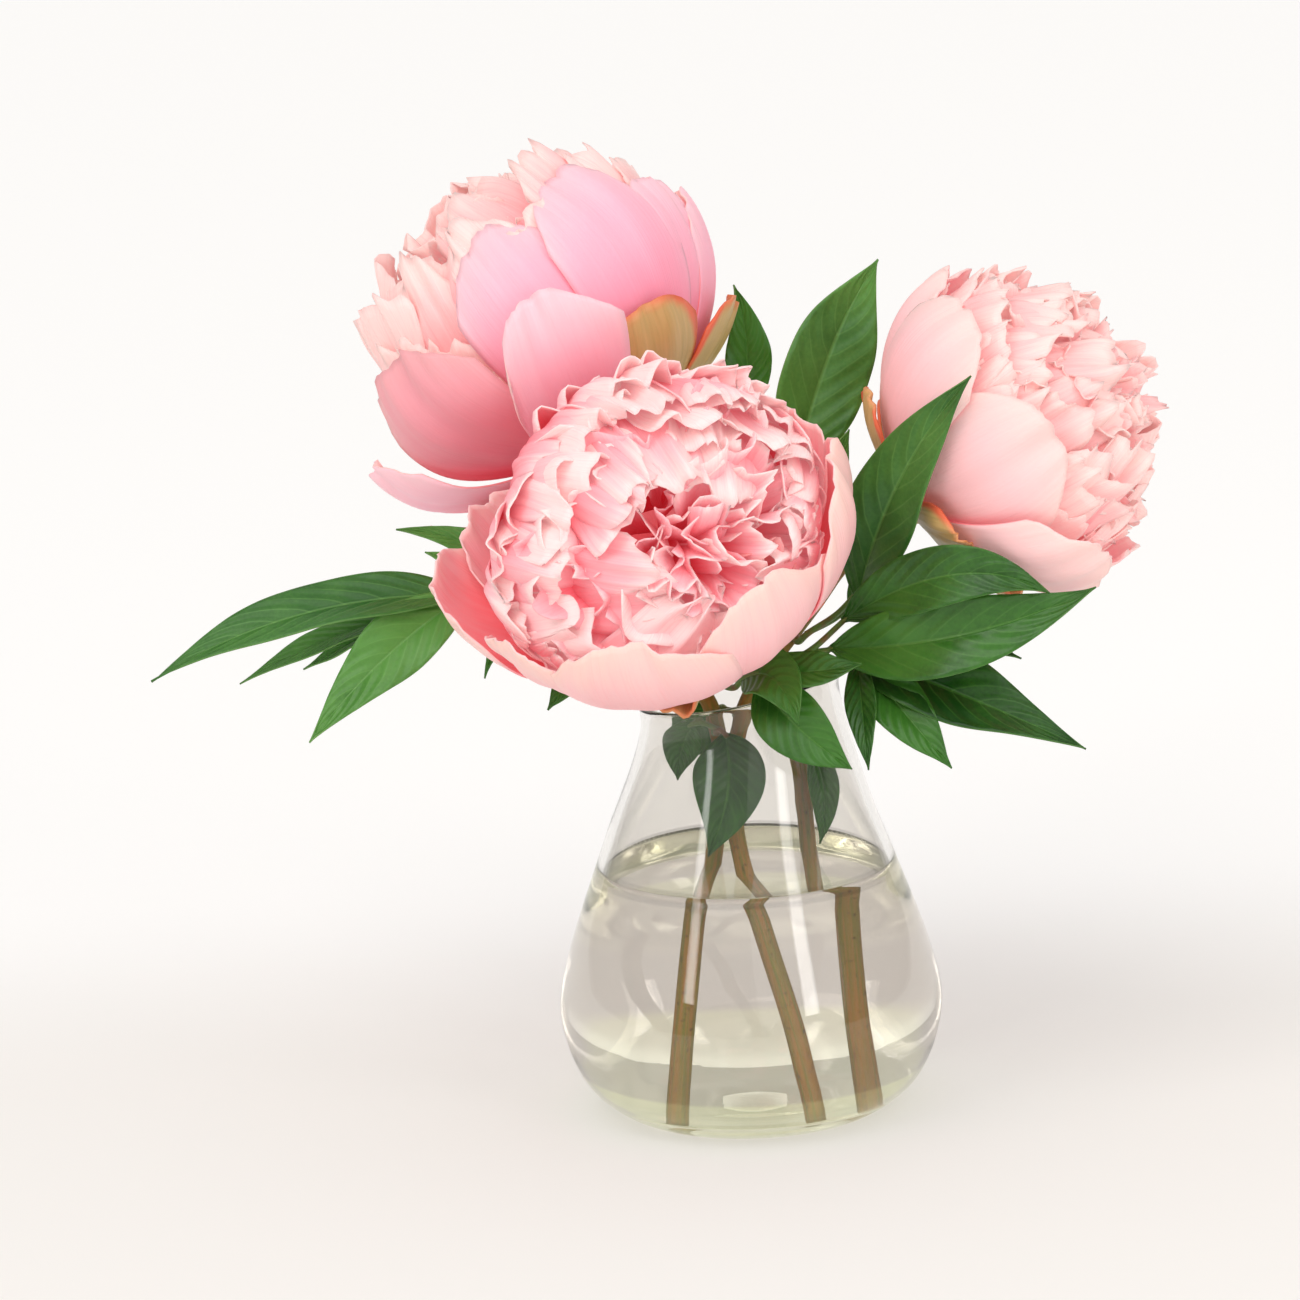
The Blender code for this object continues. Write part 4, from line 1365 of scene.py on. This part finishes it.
        def surface(across: float, along: float) -> Vector:
            """Place one point of the petal.

            Args:
                across: -1 to 1.
                along: 0 at the root to 1 at the rim.

            Returns:
                The point, in millimetres in the bloom's frame.
            """
            cut = notch * abs(flutter(across, RUFFLE.notch_pitch, offset, 2.0))
            cut += RUFFLE.nick * abs(flutter(across, RUFFLE.nick_pitch, offset, 7.0))
            share = along * (1.0 - RUFFLE.rounding * across ** 2 - cut * along)
            rise = (length - self.ruffle_root) * share
            root_share = RUFFLE.root_share
            spread = half * (root_share + (1.0 - root_share) * along ** RUFFLE.spread_power)
            bend = cup * across * across * along - curl * along ** 3 + ripple.lift(across, along)
            wide, long = RUFFLE.frill_pitch
            frill = noise.noise(Vector((across * wide + offset, along * long, 1.0)))
            bend += RUFFLE.frill * frill * along ** 4
            wide, long = RUFFLE.crease_pitch
            crease = noise.noise_vector(Vector((across * wide + offset, along * long, offset)))
            point = middle + out * (self.ruffle_root + rise) + side * (across * spread)
            point += side * (lean * rise) + inner * bend + crease * (RUFFLE.crease * along)
            return self.size * self.kept_inside(point)

        return surface

    def eye_direction(self) -> Vector:
        """Return the way to the heart's eye, where its petals meet, in the bloom's frame."""
        turn = self.frame().to_3x3().inverted()
        return (turn @ Vector(self.eye)).normalized()

    def add_shells(self, sheets: Sheets, draw: random.Random) -> None:
        """Add the layers of petals that arch over the dome.

        Args:
            sheets: the heart's mesh.
            draw: the seeded draw.
        """
        for layer in self.layers:
            start = draw.uniform(0.0, TURN)
            for index in range(layer.count):
                around = start + TURN * (index + draw.uniform(-0.2, 0.2)) / layer.count
                shape = self.shell_shape(layer, around, draw)
                sheets.add(shape, SHELL.grid, draw.uniform(*self.outer_tint))

    def add_ruffles(self, sheets: Sheets, draw: random.Random) -> None:
        """Add the rings of folded petals that open in the eye.

        Args:
            sheets: the heart's mesh.
            draw: the seeded draw.
        """
        eye = self.eye_direction()
        first = eye.orthogonal().normalized()
        second = eye.cross(first)
        for polar, count in self.inner_rings:
            start = draw.uniform(0.0, TURN)
            for index in range(count):
                around = start + TURN * (index + draw.uniform(-0.25, 0.25)) / count
                tilt = math.radians(polar * draw.uniform(*RUFFLE.tilt))
                away = first * math.cos(around) + second * math.sin(around)
                out = eye * math.cos(tilt) + away * math.sin(tilt)
                inner = (eye - out * eye.dot(out)).normalized()
                inner = Quaternion(out, draw.uniform(*RUFFLE.twist)) @ inner
                length = self.heart * draw.uniform(*self.ruffle_length)
                half = draw.uniform(*self.ruffle_half)
                shape = self.ruffle_shape(out, inner, half, length, draw)
                sheets.add(shape, RUFFLE.grid, draw.uniform(*self.inner_tint))

    def make_heart(self) -> bpy.types.Object:
        """Fill the bowl with arching petals, and with loose folded ones in the eye.

        Returns:
            The heart.
        """
        draw = random.Random(self.seed)
        sheets = Sheets()
        self.add_shells(sheets, draw)
        self.add_ruffles(sheets, draw)
        return sheets.finish(self.name + "_heart", [self.ruffle.make()], self.heart_skin,
                             self.frame())

    def make_guards(self) -> bpy.types.Object:
        """Make the bowl of guard petals.

        Returns:
            The bowl.
        """
        draw = random.Random(self.seed + 1)
        sheets = Sheets()
        for petal in self.guards:
            shape = self.bowl_shape(petal, self.guard_root, self.guard_rag, draw)
            sheets.add(shape, BOWL.grid, petal.tint)
        return sheets.finish(self.name + "_guard_petals", [GUARD_INNER.make(), self.outer.make()],
                             self.guard_skin, self.frame())

    def make_calyx(self) -> bpy.types.Object:
        """Make the sepals under the petals.

        Returns:
            The sepals.
        """
        draw = random.Random(self.seed + 2)
        sheets = Sheets()
        for petal in self.sepals:
            shape = self.bowl_shape(petal, self.sepal_root, self.sepal_rag, draw)
            sheets.add(shape, self.sepal_grid, draw.uniform(0.0, 1.0))
        return sheets.finish(self.name + "_sepals", [SepalFinish("sepal_skin").make()],
                             self.sepal_skin, self.frame())

    def make_head(self) -> bpy.types.Object:
        """Make the swollen head of the stem under the sepals.

        Returns:
            The head.
        """
        sheets = Sheets()
        profile = smooth_path(HEAD_PROFILE, self.head_steps)
        path = [Vector((0.0, 0.0, point.z * self.size)) for point in profile]

        def radius(along: float, angle: float) -> float:
            """Return the profile's radius there, faintly lobed."""
            lobed = 1.0 + self.head_lobe * math.sin(self.head_lobes * angle)
            return self.size * profile[round(along * (len(profile) - 1))].x * lobed

        sheets.add_tube(path, radius, self.head_sides, 0.5)
        return sheets.finish(self.name + "_stem_head", [SepalFinish("head_skin").make()],
                             0.0, self.frame())

    def make_stem(self) -> bpy.types.Object:
        """Make the stem with its knuckles, where leaves have grown, and its cut foot.

        Returns:
            The stem.
        """
        draw = random.Random(self.seed + 3)
        knuckles = [(draw.uniform(*self.knuckle_places), draw.uniform(*self.knuckle_heights))
                    for _ in range(self.knuckles)]
        sheets = Sheets()

        def radius(along: float, angle: float) -> float:
            """Swell the stem at its knuckles, grain it and taper it a little.

            Args:
                along: the place up the stem, 0 to 1.
                angle: the place round it.

            Returns:
                The radius there.
            """
            swell = sum(height * math.exp(-((along - place) / self.knuckle_length) ** 2)
                        for place, height in knuckles)
            grain = noise.noise(Vector((angle, along * self.grain_pitch, self.seed)))
            return (self.stem_radius * self.stem_share + swell * self.knuckle_share
                    + grain * self.stem_grain - self.stem_taper * along)

        tint = draw.uniform(0.0, 1.0)
        sheets.add_tube(self.stem_path(self.stem_steps), radius, self.stem_sides, tint)
        return sheets.finish(self.name + "_stem", [StemFinish("stem_bark").make()])

    def build(self) -> None:
        """Make and settle the whole flower."""
        prefix = self.name + "_peony_"
        settle(self.make_stem(), "stem", prefix + "stem")
        settle(self.make_calyx(), "sepal", prefix + "calyx")
        settle(self.make_head(), "sepal")
        settle(self.make_guards(), self.slot, prefix + "bloom")
        settle(self.make_heart(), self.slot)


FLOWERS = (
    Flower(
        "left", (-29, 43, 196), (-0.58, 0.30, 0.75), 1.0, 53.0, (-0.62, 0.10, 0.75),
        ((22, 14, 6.65), (19, 15.5, 73), (17, 16, 101), (12.5, 18, 125), (-6, 28, 154)),
        (Petal(-60, 124, 46), Petal(-86, 96, 42, lean=8, lift=3.2, sweep=24, curl=-3, tint=0.8),
         Petal(-24, 126, 46, lift=1.6), Petal(6, 108, 40), Petal(36, 98, 42, lift=1.6),
         Petal(76, 104, 50), Petal(120, 104, 50, lift=1.6), Petal(162, 100, 42),
         # This petal's tint of 0 gives it painted shade.
         Petal(-108, 122, 52, lean=12, tint=0.0),
         Petal(-146, 106, 42, lean=16, lift=1.6, tint=0.7),
         Petal(-174, 92, 30, lean=24, lift=3.2, tint=0.6)),
        (Petal(-32, 64, 40, lean=3, lift=4.6), Petal(26, 54, 32, lean=5, lift=4.6),
         Petal(110, 50, 30, lean=6, lift=4.6), Petal(-150, 60, 32, lean=16, lift=4.6)),
        11, PINK_GUARD_OUTER, PALE_RUFFLE, "petal_rose", layers=(
            Layer(1.06, 86, 13, flare=(0, 5)), Layer(1.05, 68, 12, flare=(0, 7)),
            Layer(1.04, 52, 11, root=106, flare=(0, 7)),
            Layer(1.03, 36, 9, root=96, flare=(0, 8)), Layer(1.00, 20, 6, root=80, flare=(0, 7))),
        inner_rings=((8, 4), (20, 9), (34, 12), (50, 13)), ruffle_length=(0.95, 1.09)),
    Flower(
        "front", (-17, -12.5, 147.5), (-0.18, -0.52, 0.84), 1.08, 46.0, (0.40, -0.915, 0.04),
        ((14.5, -16, 6.65), (-0.5, -12.5, 73), (-4.5, -10, 101), (-8, -8, 121)),
        (Petal(190, 102, 54, lift=1.6), Petal(235, 106, 52), Petal(283, 110, 50, lift=1.6),
         Petal(326, 88, 44), Petal(6, 68, 44, lift=1.6), Petal(46, 66, 44),
         Petal(80, 80, 40, lift=1.6), Petal(111, 96, 48, lean=7), Petal(152, 92, 38)),
        (Petal(196, 40, 26, lift=4.2), Petal(290, 48, 28, lean=3, lift=4.6),
         Petal(20, 46, 26, lean=6, lift=4.6), Petal(110, 46, 26, lean=3, lift=4.6)),
        23, CREAM_GUARD_OUTER, CORAL_RUFFLE, "petal_coral"),
    Flower(
        "right", (54.5, 4.5, 181), (0.84, -0.05, 0.54), 0.92, 47.0, (0.90, -0.22, 0.38),
        ((-17, 0, 6.65), (-10, 0, 71), (-3, 0, 103), (4, 0.5, 125), (24, 3, 151)),
        (Petal(38, 104, 50, lift=1.6), Petal(88, 106, 54), Petal(133, 100, 50, lean=6, lift=1.6),
         Petal(180, 100, 46), Petal(225, 102, 48, lift=1.6), Petal(270, 104, 48),
         Petal(315, 104, 46, lift=1.6), Petal(358, 100, 46)),
        (Petal(28, 48, 26, lean=4, lift=4.6), Petal(106, 50, 24, lean=4, lift=4.6),
         Petal(154, 52, 32, lean=5, lift=4.6), Petal(220, 46, 28, lean=6, lift=4.6),
         Petal(300, 46, 26, lean=6, lift=4.6)),
        37, PALE_GUARD_OUTER, PALE_RUFFLE, "petal_pale"),
)


# ---------------------------------------------------------------------------------------------
# Leaves
# ---------------------------------------------------------------------------------------------

@dataclass(frozen=True)
class Leaflet:
    """One pointed leaflet: root, middle and tip of its midrib, width, and where it faces."""
    midrib: tuple[Point, ...]
    width: float
    face: Point = (0.0, -0.6, 0.8)


class Green(Enum):
    """A lit and a shaded copy of the leaves' green: top finish, underside finish and slot.

    The shaded one is painted shade, for the leaves low down, behind the blooms and under them.
    """
    LIT = (LEAF_LIT, LEAF_LIT_BACK, "leaf_light")
    SHADED = (LEAF_SHADED, LEAF_SHADED_BACK, "leaf_dark")


@dataclass
class Spray:
    """A compound leaf: where it grows on which stem, its stalk's route and its leaflets.

    heading is the way out of the stem, in degrees round from +X towards +Y.
    """
    name: str
    stem: str
    height: float
    heading: float
    green: Green
    stalk: tuple[Point, ...]
    leaflets: tuple[Leaflet, ...]
    side_stalks: tuple[tuple[Point, ...], ...] = ()
    fold: float = math.radians(20.0)
    base_power: float = 0.8
    tip_power: float = 1.25
    root_half: float = 0.9
    wave: float = 0.045
    stalk_radius: float = 1.15
    stalk_start: float = 2.5
    stalk_taper: float = 0.35
    stalk_root: float = 0.7
    stalk_flare: float = 0.7
    stalk_ridge: float = 0.05
    flare_length: float = 0.05
    stalk_steps: int = 30
    stalk_sides: int = 12
    stem_steps: int = 40
    side_steps: int = 16
    side_sides: int = 10
    side_radius: float = 0.85
    side_taper: float = 0.2
    grid: tuple[int, int] = (56, 16)
    skin: float = 0.5
    crumple: float = 0.045
    quilt: float = 0.16
    groove: float = 0.25
    groove_width: float = 0.07
    tip_curl: Pair = (-0.6, 1.2)

    def leaflet_shape(self, leaflet: Leaflet, draw: random.Random) -> Shape:
        """Return the surface of a leaflet, folded along its midrib and quilted by its veins.

        Args:
            leaflet: its place and size.
            draw: the seeded draw.

        Returns:
            The surface in the model's frame.
        """
        face = Vector(leaflet.face).normalized()
        widest = self.base_power / (self.base_power + self.tip_power)
        root, middle, tip = [Vector(point) for point in leaflet.midrib]
        control = 2.0 * middle - 0.5 * (root + tip)
        phase = sum(root)
        offset = draw.uniform(0.0, 50.0)
        tip_curl = draw.uniform(*self.tip_curl)

        def surface(across: float, along: float) -> Vector:
            """Place one point of the leaflet.

            Args:
                across: -1 to 1.
                along: 0 at the root to 1 at the tip.

            Returns:
                The point, in millimetres.
            """
            point = root.lerp(control, along).lerp(control.lerp(tip, along), along)
            run = (control - root).lerp(tip - control, along).normalized()
            side = run.cross(face).normalized()
            swell = ((along / widest) ** self.base_power
                     * ((1.0 - along) / (1.0 - widest)) ** self.tip_power)
            half = max(leaflet.width / 2.0 * swell, self.root_half * (1.0 - along) ** 2)
            size = abs(across)
            wave = self.wave * leaflet.width * math.sin(4.0 * math.pi * along + phase) * swell
            lift = size * half * math.sin(self.fold) * (1.0 - 0.25 * size) + across * wave
            crumple = noise.noise(Vector((along * 4.0, across * 1.5, offset)))
            lift += crumple * leaflet.width * self.crumple * size
            quilt = math.sin(VEINS.phase(along, size))
            lift += self.quilt * quilt * size * (1.0 - size) * 4.0 * swell
            lift -= self.groove * math.exp(-(size / self.groove_width) ** 2) * swell
            lift -= tip_curl * along ** 4
            return point + side * (across * half * math.cos(self.fold)) + side.cross(run) * lift

        return surface

    def stalk_path(self) -> list[Vector]:
        """Run the stalk from inside its stem, which it leaves square to it.

        Returns:
            The stalk's middle line.
        """
        flower = next(flower for flower in FLOWERS if flower.name == self.stem)
        heading = math.radians(self.heading)
        path = flower.stem_path(self.stem_steps)
        below, above = next(pair for pair in zip(path, path[1:])
                            if pair[0].z <= self.height <= pair[1].z)
        run = (above - below).normalized()
        out = Vector((math.cos(heading), math.sin(heading), 0.0))
        out = (out - run * out.dot(run)).normalized()
        middle = below.lerp(above, (self.height - below.z) / (above.z - below.z))
        root = middle + out * (flower.stem_radius * self.stalk_root)
        start = middle + out * (flower.stem_radius + self.stalk_start)
        return smooth_path([root, start] + list(self.stalk), self.stalk_steps)

    def make_leaflets(self) -> bpy.types.Object:
        """Make the leaflets.

        Returns:
            The piece.
        """
        draw = random.Random(self.name)
        sheets = Sheets()
        for leaflet in self.leaflets:
            sheets.add(self.leaflet_shape(leaflet, draw), self.grid, draw.uniform(0.0, 1.0))
        top, under, _ = self.green.value
        return sheets.finish(self.name + "_leaflets", [under.make(), top.make()], self.skin)

    def make_stalks(self) -> bpy.types.Object:
        """Make the stalk and its side stalks, which taper.

        Returns:
            The piece.
        """
        sheets = Sheets()

        def radius(along: float, angle: float) -> float:
            """Return the stalk's radius there: it flares where it joins the stem."""
            flare = self.stalk_flare * math.exp(-along / self.flare_length)
            ridge = self.stalk_ridge * math.sin(3.0 * angle)
            return self.stalk_radius * (1.0 - self.stalk_taper * along) + flare + ridge

        def side_radius(along: float, _: float) -> float:
            """Return a side stalk's radius there."""
            return self.side_radius - self.side_taper * along

        sheets.add_tube(self.stalk_path(), radius, self.stalk_sides, 0.3)
        for points in self.side_stalks:
            path = smooth_path(points, self.side_steps)
            sheets.add_tube(path, side_radius, self.side_sides, 0.7)
        return sheets.finish(self.name + "_stalks", [StalkFinish("stalk_skin").make()])

    def build(self) -> None:
        """Make and settle the whole leaf."""
        slot = self.green.value[2]
        settle(self.make_leaflets(), slot, self.name)
        settle(self.make_stalks(), slot)


SPRAYS = (
    Spray(
        "left_leaf_spray", "left", 152, 190, Green.LIT,
        ((-22, 27, 154.5), (-40, 18, 156), (-62, 8, 157), (-80, 0, 157)),
        (Leaflet(((-77, 1, 157), (-126, -9, 155.5), (-170, -16, 139)), 20, (0.1, -0.5, 0.85)),
         Leaflet(((-96, 1, 152), (-121, 4, 144), (-146, 4, 133)), 10, (0.2, -0.5, 0.8)),
         Leaflet(((-97, 1, 151), (-112, 6, 143), (-127, 8, 135)), 8, (0.3, -0.4, 0.8)),
         Leaflet(((-79, 0, 156.5), (-102, -14, 143), (-125, -24, 121)), 21, (0.1, -0.8, 0.6)),
         Leaflet(((-70, 4.5, 156.5), (-78, 8, 163), (-90, 10, 168)), 10, (0.4, -0.7, 0.6)),
         Leaflet(((-58, 10, 156.5), (-76, 17, 168), (-98, 15, 174.5)), 10, (0.1, -0.8, 0.5))),
        side_stalks=(((-79, 0.5, 157), (-90, 0, 155), (-100, 1.5, 150.5)),)),
    Spray(
        "low_left_leaf_spray", "left", 133, 185, Green.SHADED,
        ((-2, 22, 135), (-20, 16, 137), (-38, 8, 139), (-56, 4, 142)),
        (Leaflet(((-53, 4.5, 141.5), (-66, 4, 144), (-74, 0, 132)), 8),
         Leaflet(((-35, 1, 137.5), (-46, -9, 134.5), (-56, -16, 126)), 14),
         Leaflet(((-22, 14, 137.3), (-32, 4, 133), (-40, -4, 124)), 12)),
        side_stalks=(((-26, 13, 137.8), (-34, 4, 138), (-38, -2, 137)),)),
    Spray(
        "rear_leaf_spray", "right", 149, 95, Green.LIT,
        ((24, 12, 153), (21, 20, 166), (19, 22, 188)),
        (Leaflet(((19, 22, 185), (31, 30, 219), (46, 32, 245)), 29, (0.3, -0.9, 0.2)),
         Leaflet(((26.5, 13, 177), (30, 10, 188), (35, 8, 200)), 10, (0.2, -0.9, 0.2))),
        side_stalks=(((21.5, 19.5, 165), (25, 15, 173), (27, 12, 178)),)),
    Spray(
        "tall_leaf_spray", "right", 141, -60, Green.LIT,
        ((21, -5, 143), (29, -5, 148), (35, -5, 154)),
        (Leaflet(((35.5, -5, 152), (47.5, -27, 191), (68, -50, 226)), 24, (-0.35, -0.9, 0.2)),
         Leaflet(((33, 1, 148), (41, -1, 156), (47, -6, 165)), 13, (0.3, -0.7, 0.6))),
        side_stalks=(((20, -4.5, 142.5), (28, 0, 145), (34, 1, 149)),)),
    Spray(
        "right_leaf_spray", "right", 133, -75, Green.SHADED,
        ((15, -8, 135), (22, -12, 140), (29, -12, 146), (34, -14, 151)),
        (Leaflet(((31, -12.5, 148), (62, -38, 166), (89, -40, 160)), 19, (0.0, -0.95, 0.3)),
         Leaflet(((27, -13.3, 140), (65, -36, 148), (103, -35, 160)), 24, (0.0, -0.95, 0.3)),
         Leaflet(((27, -13.3, 139.5), (55, -24, 144), (81, -33, 139.5)), 15, (0.0, -0.7, 0.7))),
        side_stalks=(((20, -11, 138.5), (26, -13, 139.5), (30, -14, 141)),)),
    Spray(
        "low_right_leaf_spray", "left", 123, -45, Green.SHADED,
        ((20, 10, 128), (30, -1, 138.5), (36, -12, 136)),
        (Leaflet(((34, -9, 136.5), (63, -22, 127), (99, -30, 111)), 25, (0.1, -0.8, 0.6)),
         Leaflet(((35, -12, 136), (47, -26, 123), (60, -34, 108)), 18, (0.1, -0.9, 0.4)),
         Leaflet(((34.5, -11, 136), (35, -29, 124), (36, -36, 109)), 10, (-0.3, -0.9, 0.3)))),
    Spray(
        "mouth_leaf_spray", "front", 126, -45, Green.SHADED,
        ((-2, -16, 130), (1, -22, 134), (6, -27, 137)),
        (Leaflet(((1, -21, 134), (10, -34, 136), (16, -43, 125)), 18, (-0.1, -0.8, 0.6)),
         Leaflet(((4, -24, 136), (20, -33, 138), (35, -34, 140)), 14, (0.0, -0.7, 0.7)),
         Leaflet(((5, -27.5, 133.6), (17, -38, 122), (31, -38, 110)), 20, (-0.1, -0.95, 0.2))),
        side_stalks=(((-0.5, -18, 132), (3, -25, 134), (7, -30, 133)),)),
    Spray(
        "neck_leaf_spray", "front", 116, -90, Green.SHADED,
        ((-6, -16.5, 118), (-4, -18.5, 116)),
        (Leaflet(((-5, -17.5, 117), (-4.5, -21, 101), (-11, -21.5, 81)), 22, (0.0, -1.0, 0.1)),
         Leaflet(((-13.5, -13.5, 119.5), (-17, -11.5, 112), (-19, -9, 101)), 12, (-0.2, -1.0, 0.1))),
        side_stalks=(((-6.5, -15, 117.8), (-11, -15, 120), (-15, -13, 119)),)),
    Spray(
        "neck_back_leaf", "right", 118, 180, Green.SHADED,
        ((-5, 2, 120), (-7.5, 3.5, 119)),
        (Leaflet(((-6, 3, 119.5), (-14, 5, 112), (-22, 7, 103)), 16, (0.0, -0.9, 0.3)),)),
    Spray(
        "stem_leaf", "left", 106, -35, Green.SHADED,
        ((21, 11, 108), (22, 10.5, 105)),
        (Leaflet(((21.5, 10.5, 106.5), (24, 7, 91), (22, 6, 76.5)), 10, (0.2, -0.95, 0.0)),)),
    Spray(
        "back_leaf_spray", "left", 165, 40, Green.SHADED,
        ((-6, 41, 169), (1, 50, 182), (4, 56, 200)),
        (Leaflet(((3.5, 54, 195), (7, 60, 214), (4, 60, 234)), 15, (0.2, -0.9, 0.2)),)),
)


# ---------------------------------------------------------------------------------------------
# Studio
# ---------------------------------------------------------------------------------------------

@dataclass(frozen=True)
class Softbox:
    """One area light: its middle, what it faces, its size and its power in watts."""
    name: str
    place: Point
    target: Point
    width: float
    height: float
    power: float
    color: Color = (1.0, 1.0, 1.0)

    def build(self) -> None:
        """Hang the light."""
        light = bpy.data.lights.new(self.name, "AREA")
        light.shape = "RECTANGLE"
        light.size = self.width * MM
        light.size_y = self.height * MM
        light.energy = self.power
        light.color = self.color
        lamp = bpy.data.objects.new(self.name, light)
        lamp.location = Vector(self.place) * MM
        facing = Vector(self.target) - Vector(self.place)
        lamp.rotation_euler = facing.to_track_quat("-Z", "Y").to_euler()
        bpy.context.scene.collection.objects.link(lamp)


@dataclass(frozen=True)
class Daylight:
    """Even light from far off: the way it travels, its strength and how soft its shadows are."""
    name: str
    heading: Point
    strength: float
    softness: float
    color: Color = (1.0, 1.0, 1.0)

    def build(self) -> None:
        """Hang the light."""
        light = bpy.data.lights.new(self.name, "SUN")
        light.energy = self.strength
        light.angle = math.radians(self.softness)
        light.color = self.color
        lamp = bpy.data.objects.new(self.name, light)
        lamp.rotation_euler = Vector(self.heading).to_track_quat("-Z", "Y").to_euler()
        bpy.context.scene.collection.objects.link(lamp)


@dataclass
class Studio:
    """Camera, floor, sky and lights."""
    target: Point = (-25.5, 0.0, 138.5)
    distance: float = 2200.0
    lookdown: float = math.radians(13.5)
    roll: float = math.radians(2.4)
    lens: float = 209.0
    sensor: float = 36.0
    farthest: float = 80.0
    floor_size: float = 40000.0
    backdrop: float = 1.0
    light_bounces: int = 24
    mirrored: float = 0.35
    mirror_depth: float = 1.5
    surround_low: Color = (0.52, 0.50, 0.49)
    surround_high: Color = (0.72, 0.715, 0.71)
    lights: tuple[Daylight | Softbox, ...] = (
        Daylight("key", (0.35, 0.75, -1.0), 1.0, 50.0, (1.0, 0.985, 0.96)),
        Daylight("fill", (-0.6, 0.9, -0.45), 0.30, 60.0),
        Softbox("left_strip", (-720, -860, 640), (0, 0, 90), 130, 700, 1.2),
        Softbox("right_strip", (660, -900, 600), (0, 0, 90), 190, 800, 2.0),
    )

    def place_camera(self) -> None:
        """Look down on the arrangement from in front, with the roll of the view."""
        back = Vector((0.0, -math.cos(self.lookdown), math.sin(self.lookdown)))
        right = Vector((1.0, 0.0, 0.0))
        up = Vector((0.0, math.sin(self.lookdown), math.cos(self.lookdown)))
        rolled_up = up * math.cos(self.roll) + right * math.sin(self.roll)
        rolled_right = right * math.cos(self.roll) - up * math.sin(self.roll)
        data = bpy.data.cameras.new("camera")
        data.lens = self.lens
        data.sensor_width = self.sensor
        data.clip_end = self.farthest
        camera = bpy.data.objects.new("camera", data)
        place = Matrix((rolled_right, rolled_up, back)).transposed().to_4x4()
        place.translation = (Vector(self.target) + back * self.distance) * MM
        camera.matrix_world = place
        bpy.context.scene.collection.objects.link(camera)
        bpy.context.scene.camera = camera

    def lay_floor(self) -> None:
        """Lay the pale floor."""
        bm = bmesh.new()
        bmesh.ops.create_grid(bm, x_segments=4, y_segments=4, size=self.floor_size * MM / 2.0)
        floor = new_object("studio_floor", bm)
        floor.data.materials.append(FloorFinish().make())

    def light_world(self) -> None:
        """Show white behind the arrangement and light it with a soft grey surround.

        The surround is dimmer where a surface mirrors it straight to the camera.
        """
        world = bpy.data.worlds.new("studio")
        bpy.context.scene.world = world
        world.use_nodes = True
        world.node_tree.nodes.clear()
        sky = Wiring(world.node_tree)
        path = sky.node("LightPath").outputs
        where = sky.node("TexCoord").outputs["Generated"]
        height = sky.node("SeparateXYZ", None, {0: where}).outputs["Z"]
        color = sky.mixed(height, self.surround_low, self.surround_high)
        first = Signal(sky, path["Ray Depth"]).below(self.mirror_depth)
        mirror = first * Signal(sky, path["Is Glossy Ray"])
        around = sky.node("Background", None, {
            "Color": color, "Strength": mirror * (self.mirrored - 1.0) + 1.0})
        seen = sky.node("Background", None, {"Color": (self.backdrop,) * 3})
        mix = sky.node("MixShader", None, {0: path["Is Camera Ray"], 1: around.outputs[0],
                                           2: seen.outputs[0]})
        sky.node("OutputWorld", None, {"Surface": mix.outputs[0]})

    def build(self) -> None:
        """Set up the studio."""
        bpy.context.scene.view_settings.view_transform = "Standard"
        bpy.context.scene.view_settings.look = "None"
        bounces = bpy.context.scene.cycles
        bounces.max_bounces = self.light_bounces
        bounces.glossy_bounces = self.light_bounces
        bounces.transmission_bounces = self.light_bounces
        self.place_camera()
        self.lay_floor()
        self.light_world()
        for light in self.lights:
            light.build()


def main() -> None:
    """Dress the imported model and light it."""
    logging.basicConfig(level=logging.INFO, format="%(message)s")
    # Without a seed of its own, the noise of every run would come from the clock.
    noise.seed_set(NOISE_SEED)
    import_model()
    Studio().build()
    Vase().build()
    for flower in FLOWERS:
        flower.build()
    for spray in SPRAYS:
        spray.build()


if __name__ == "__main__":
    main()
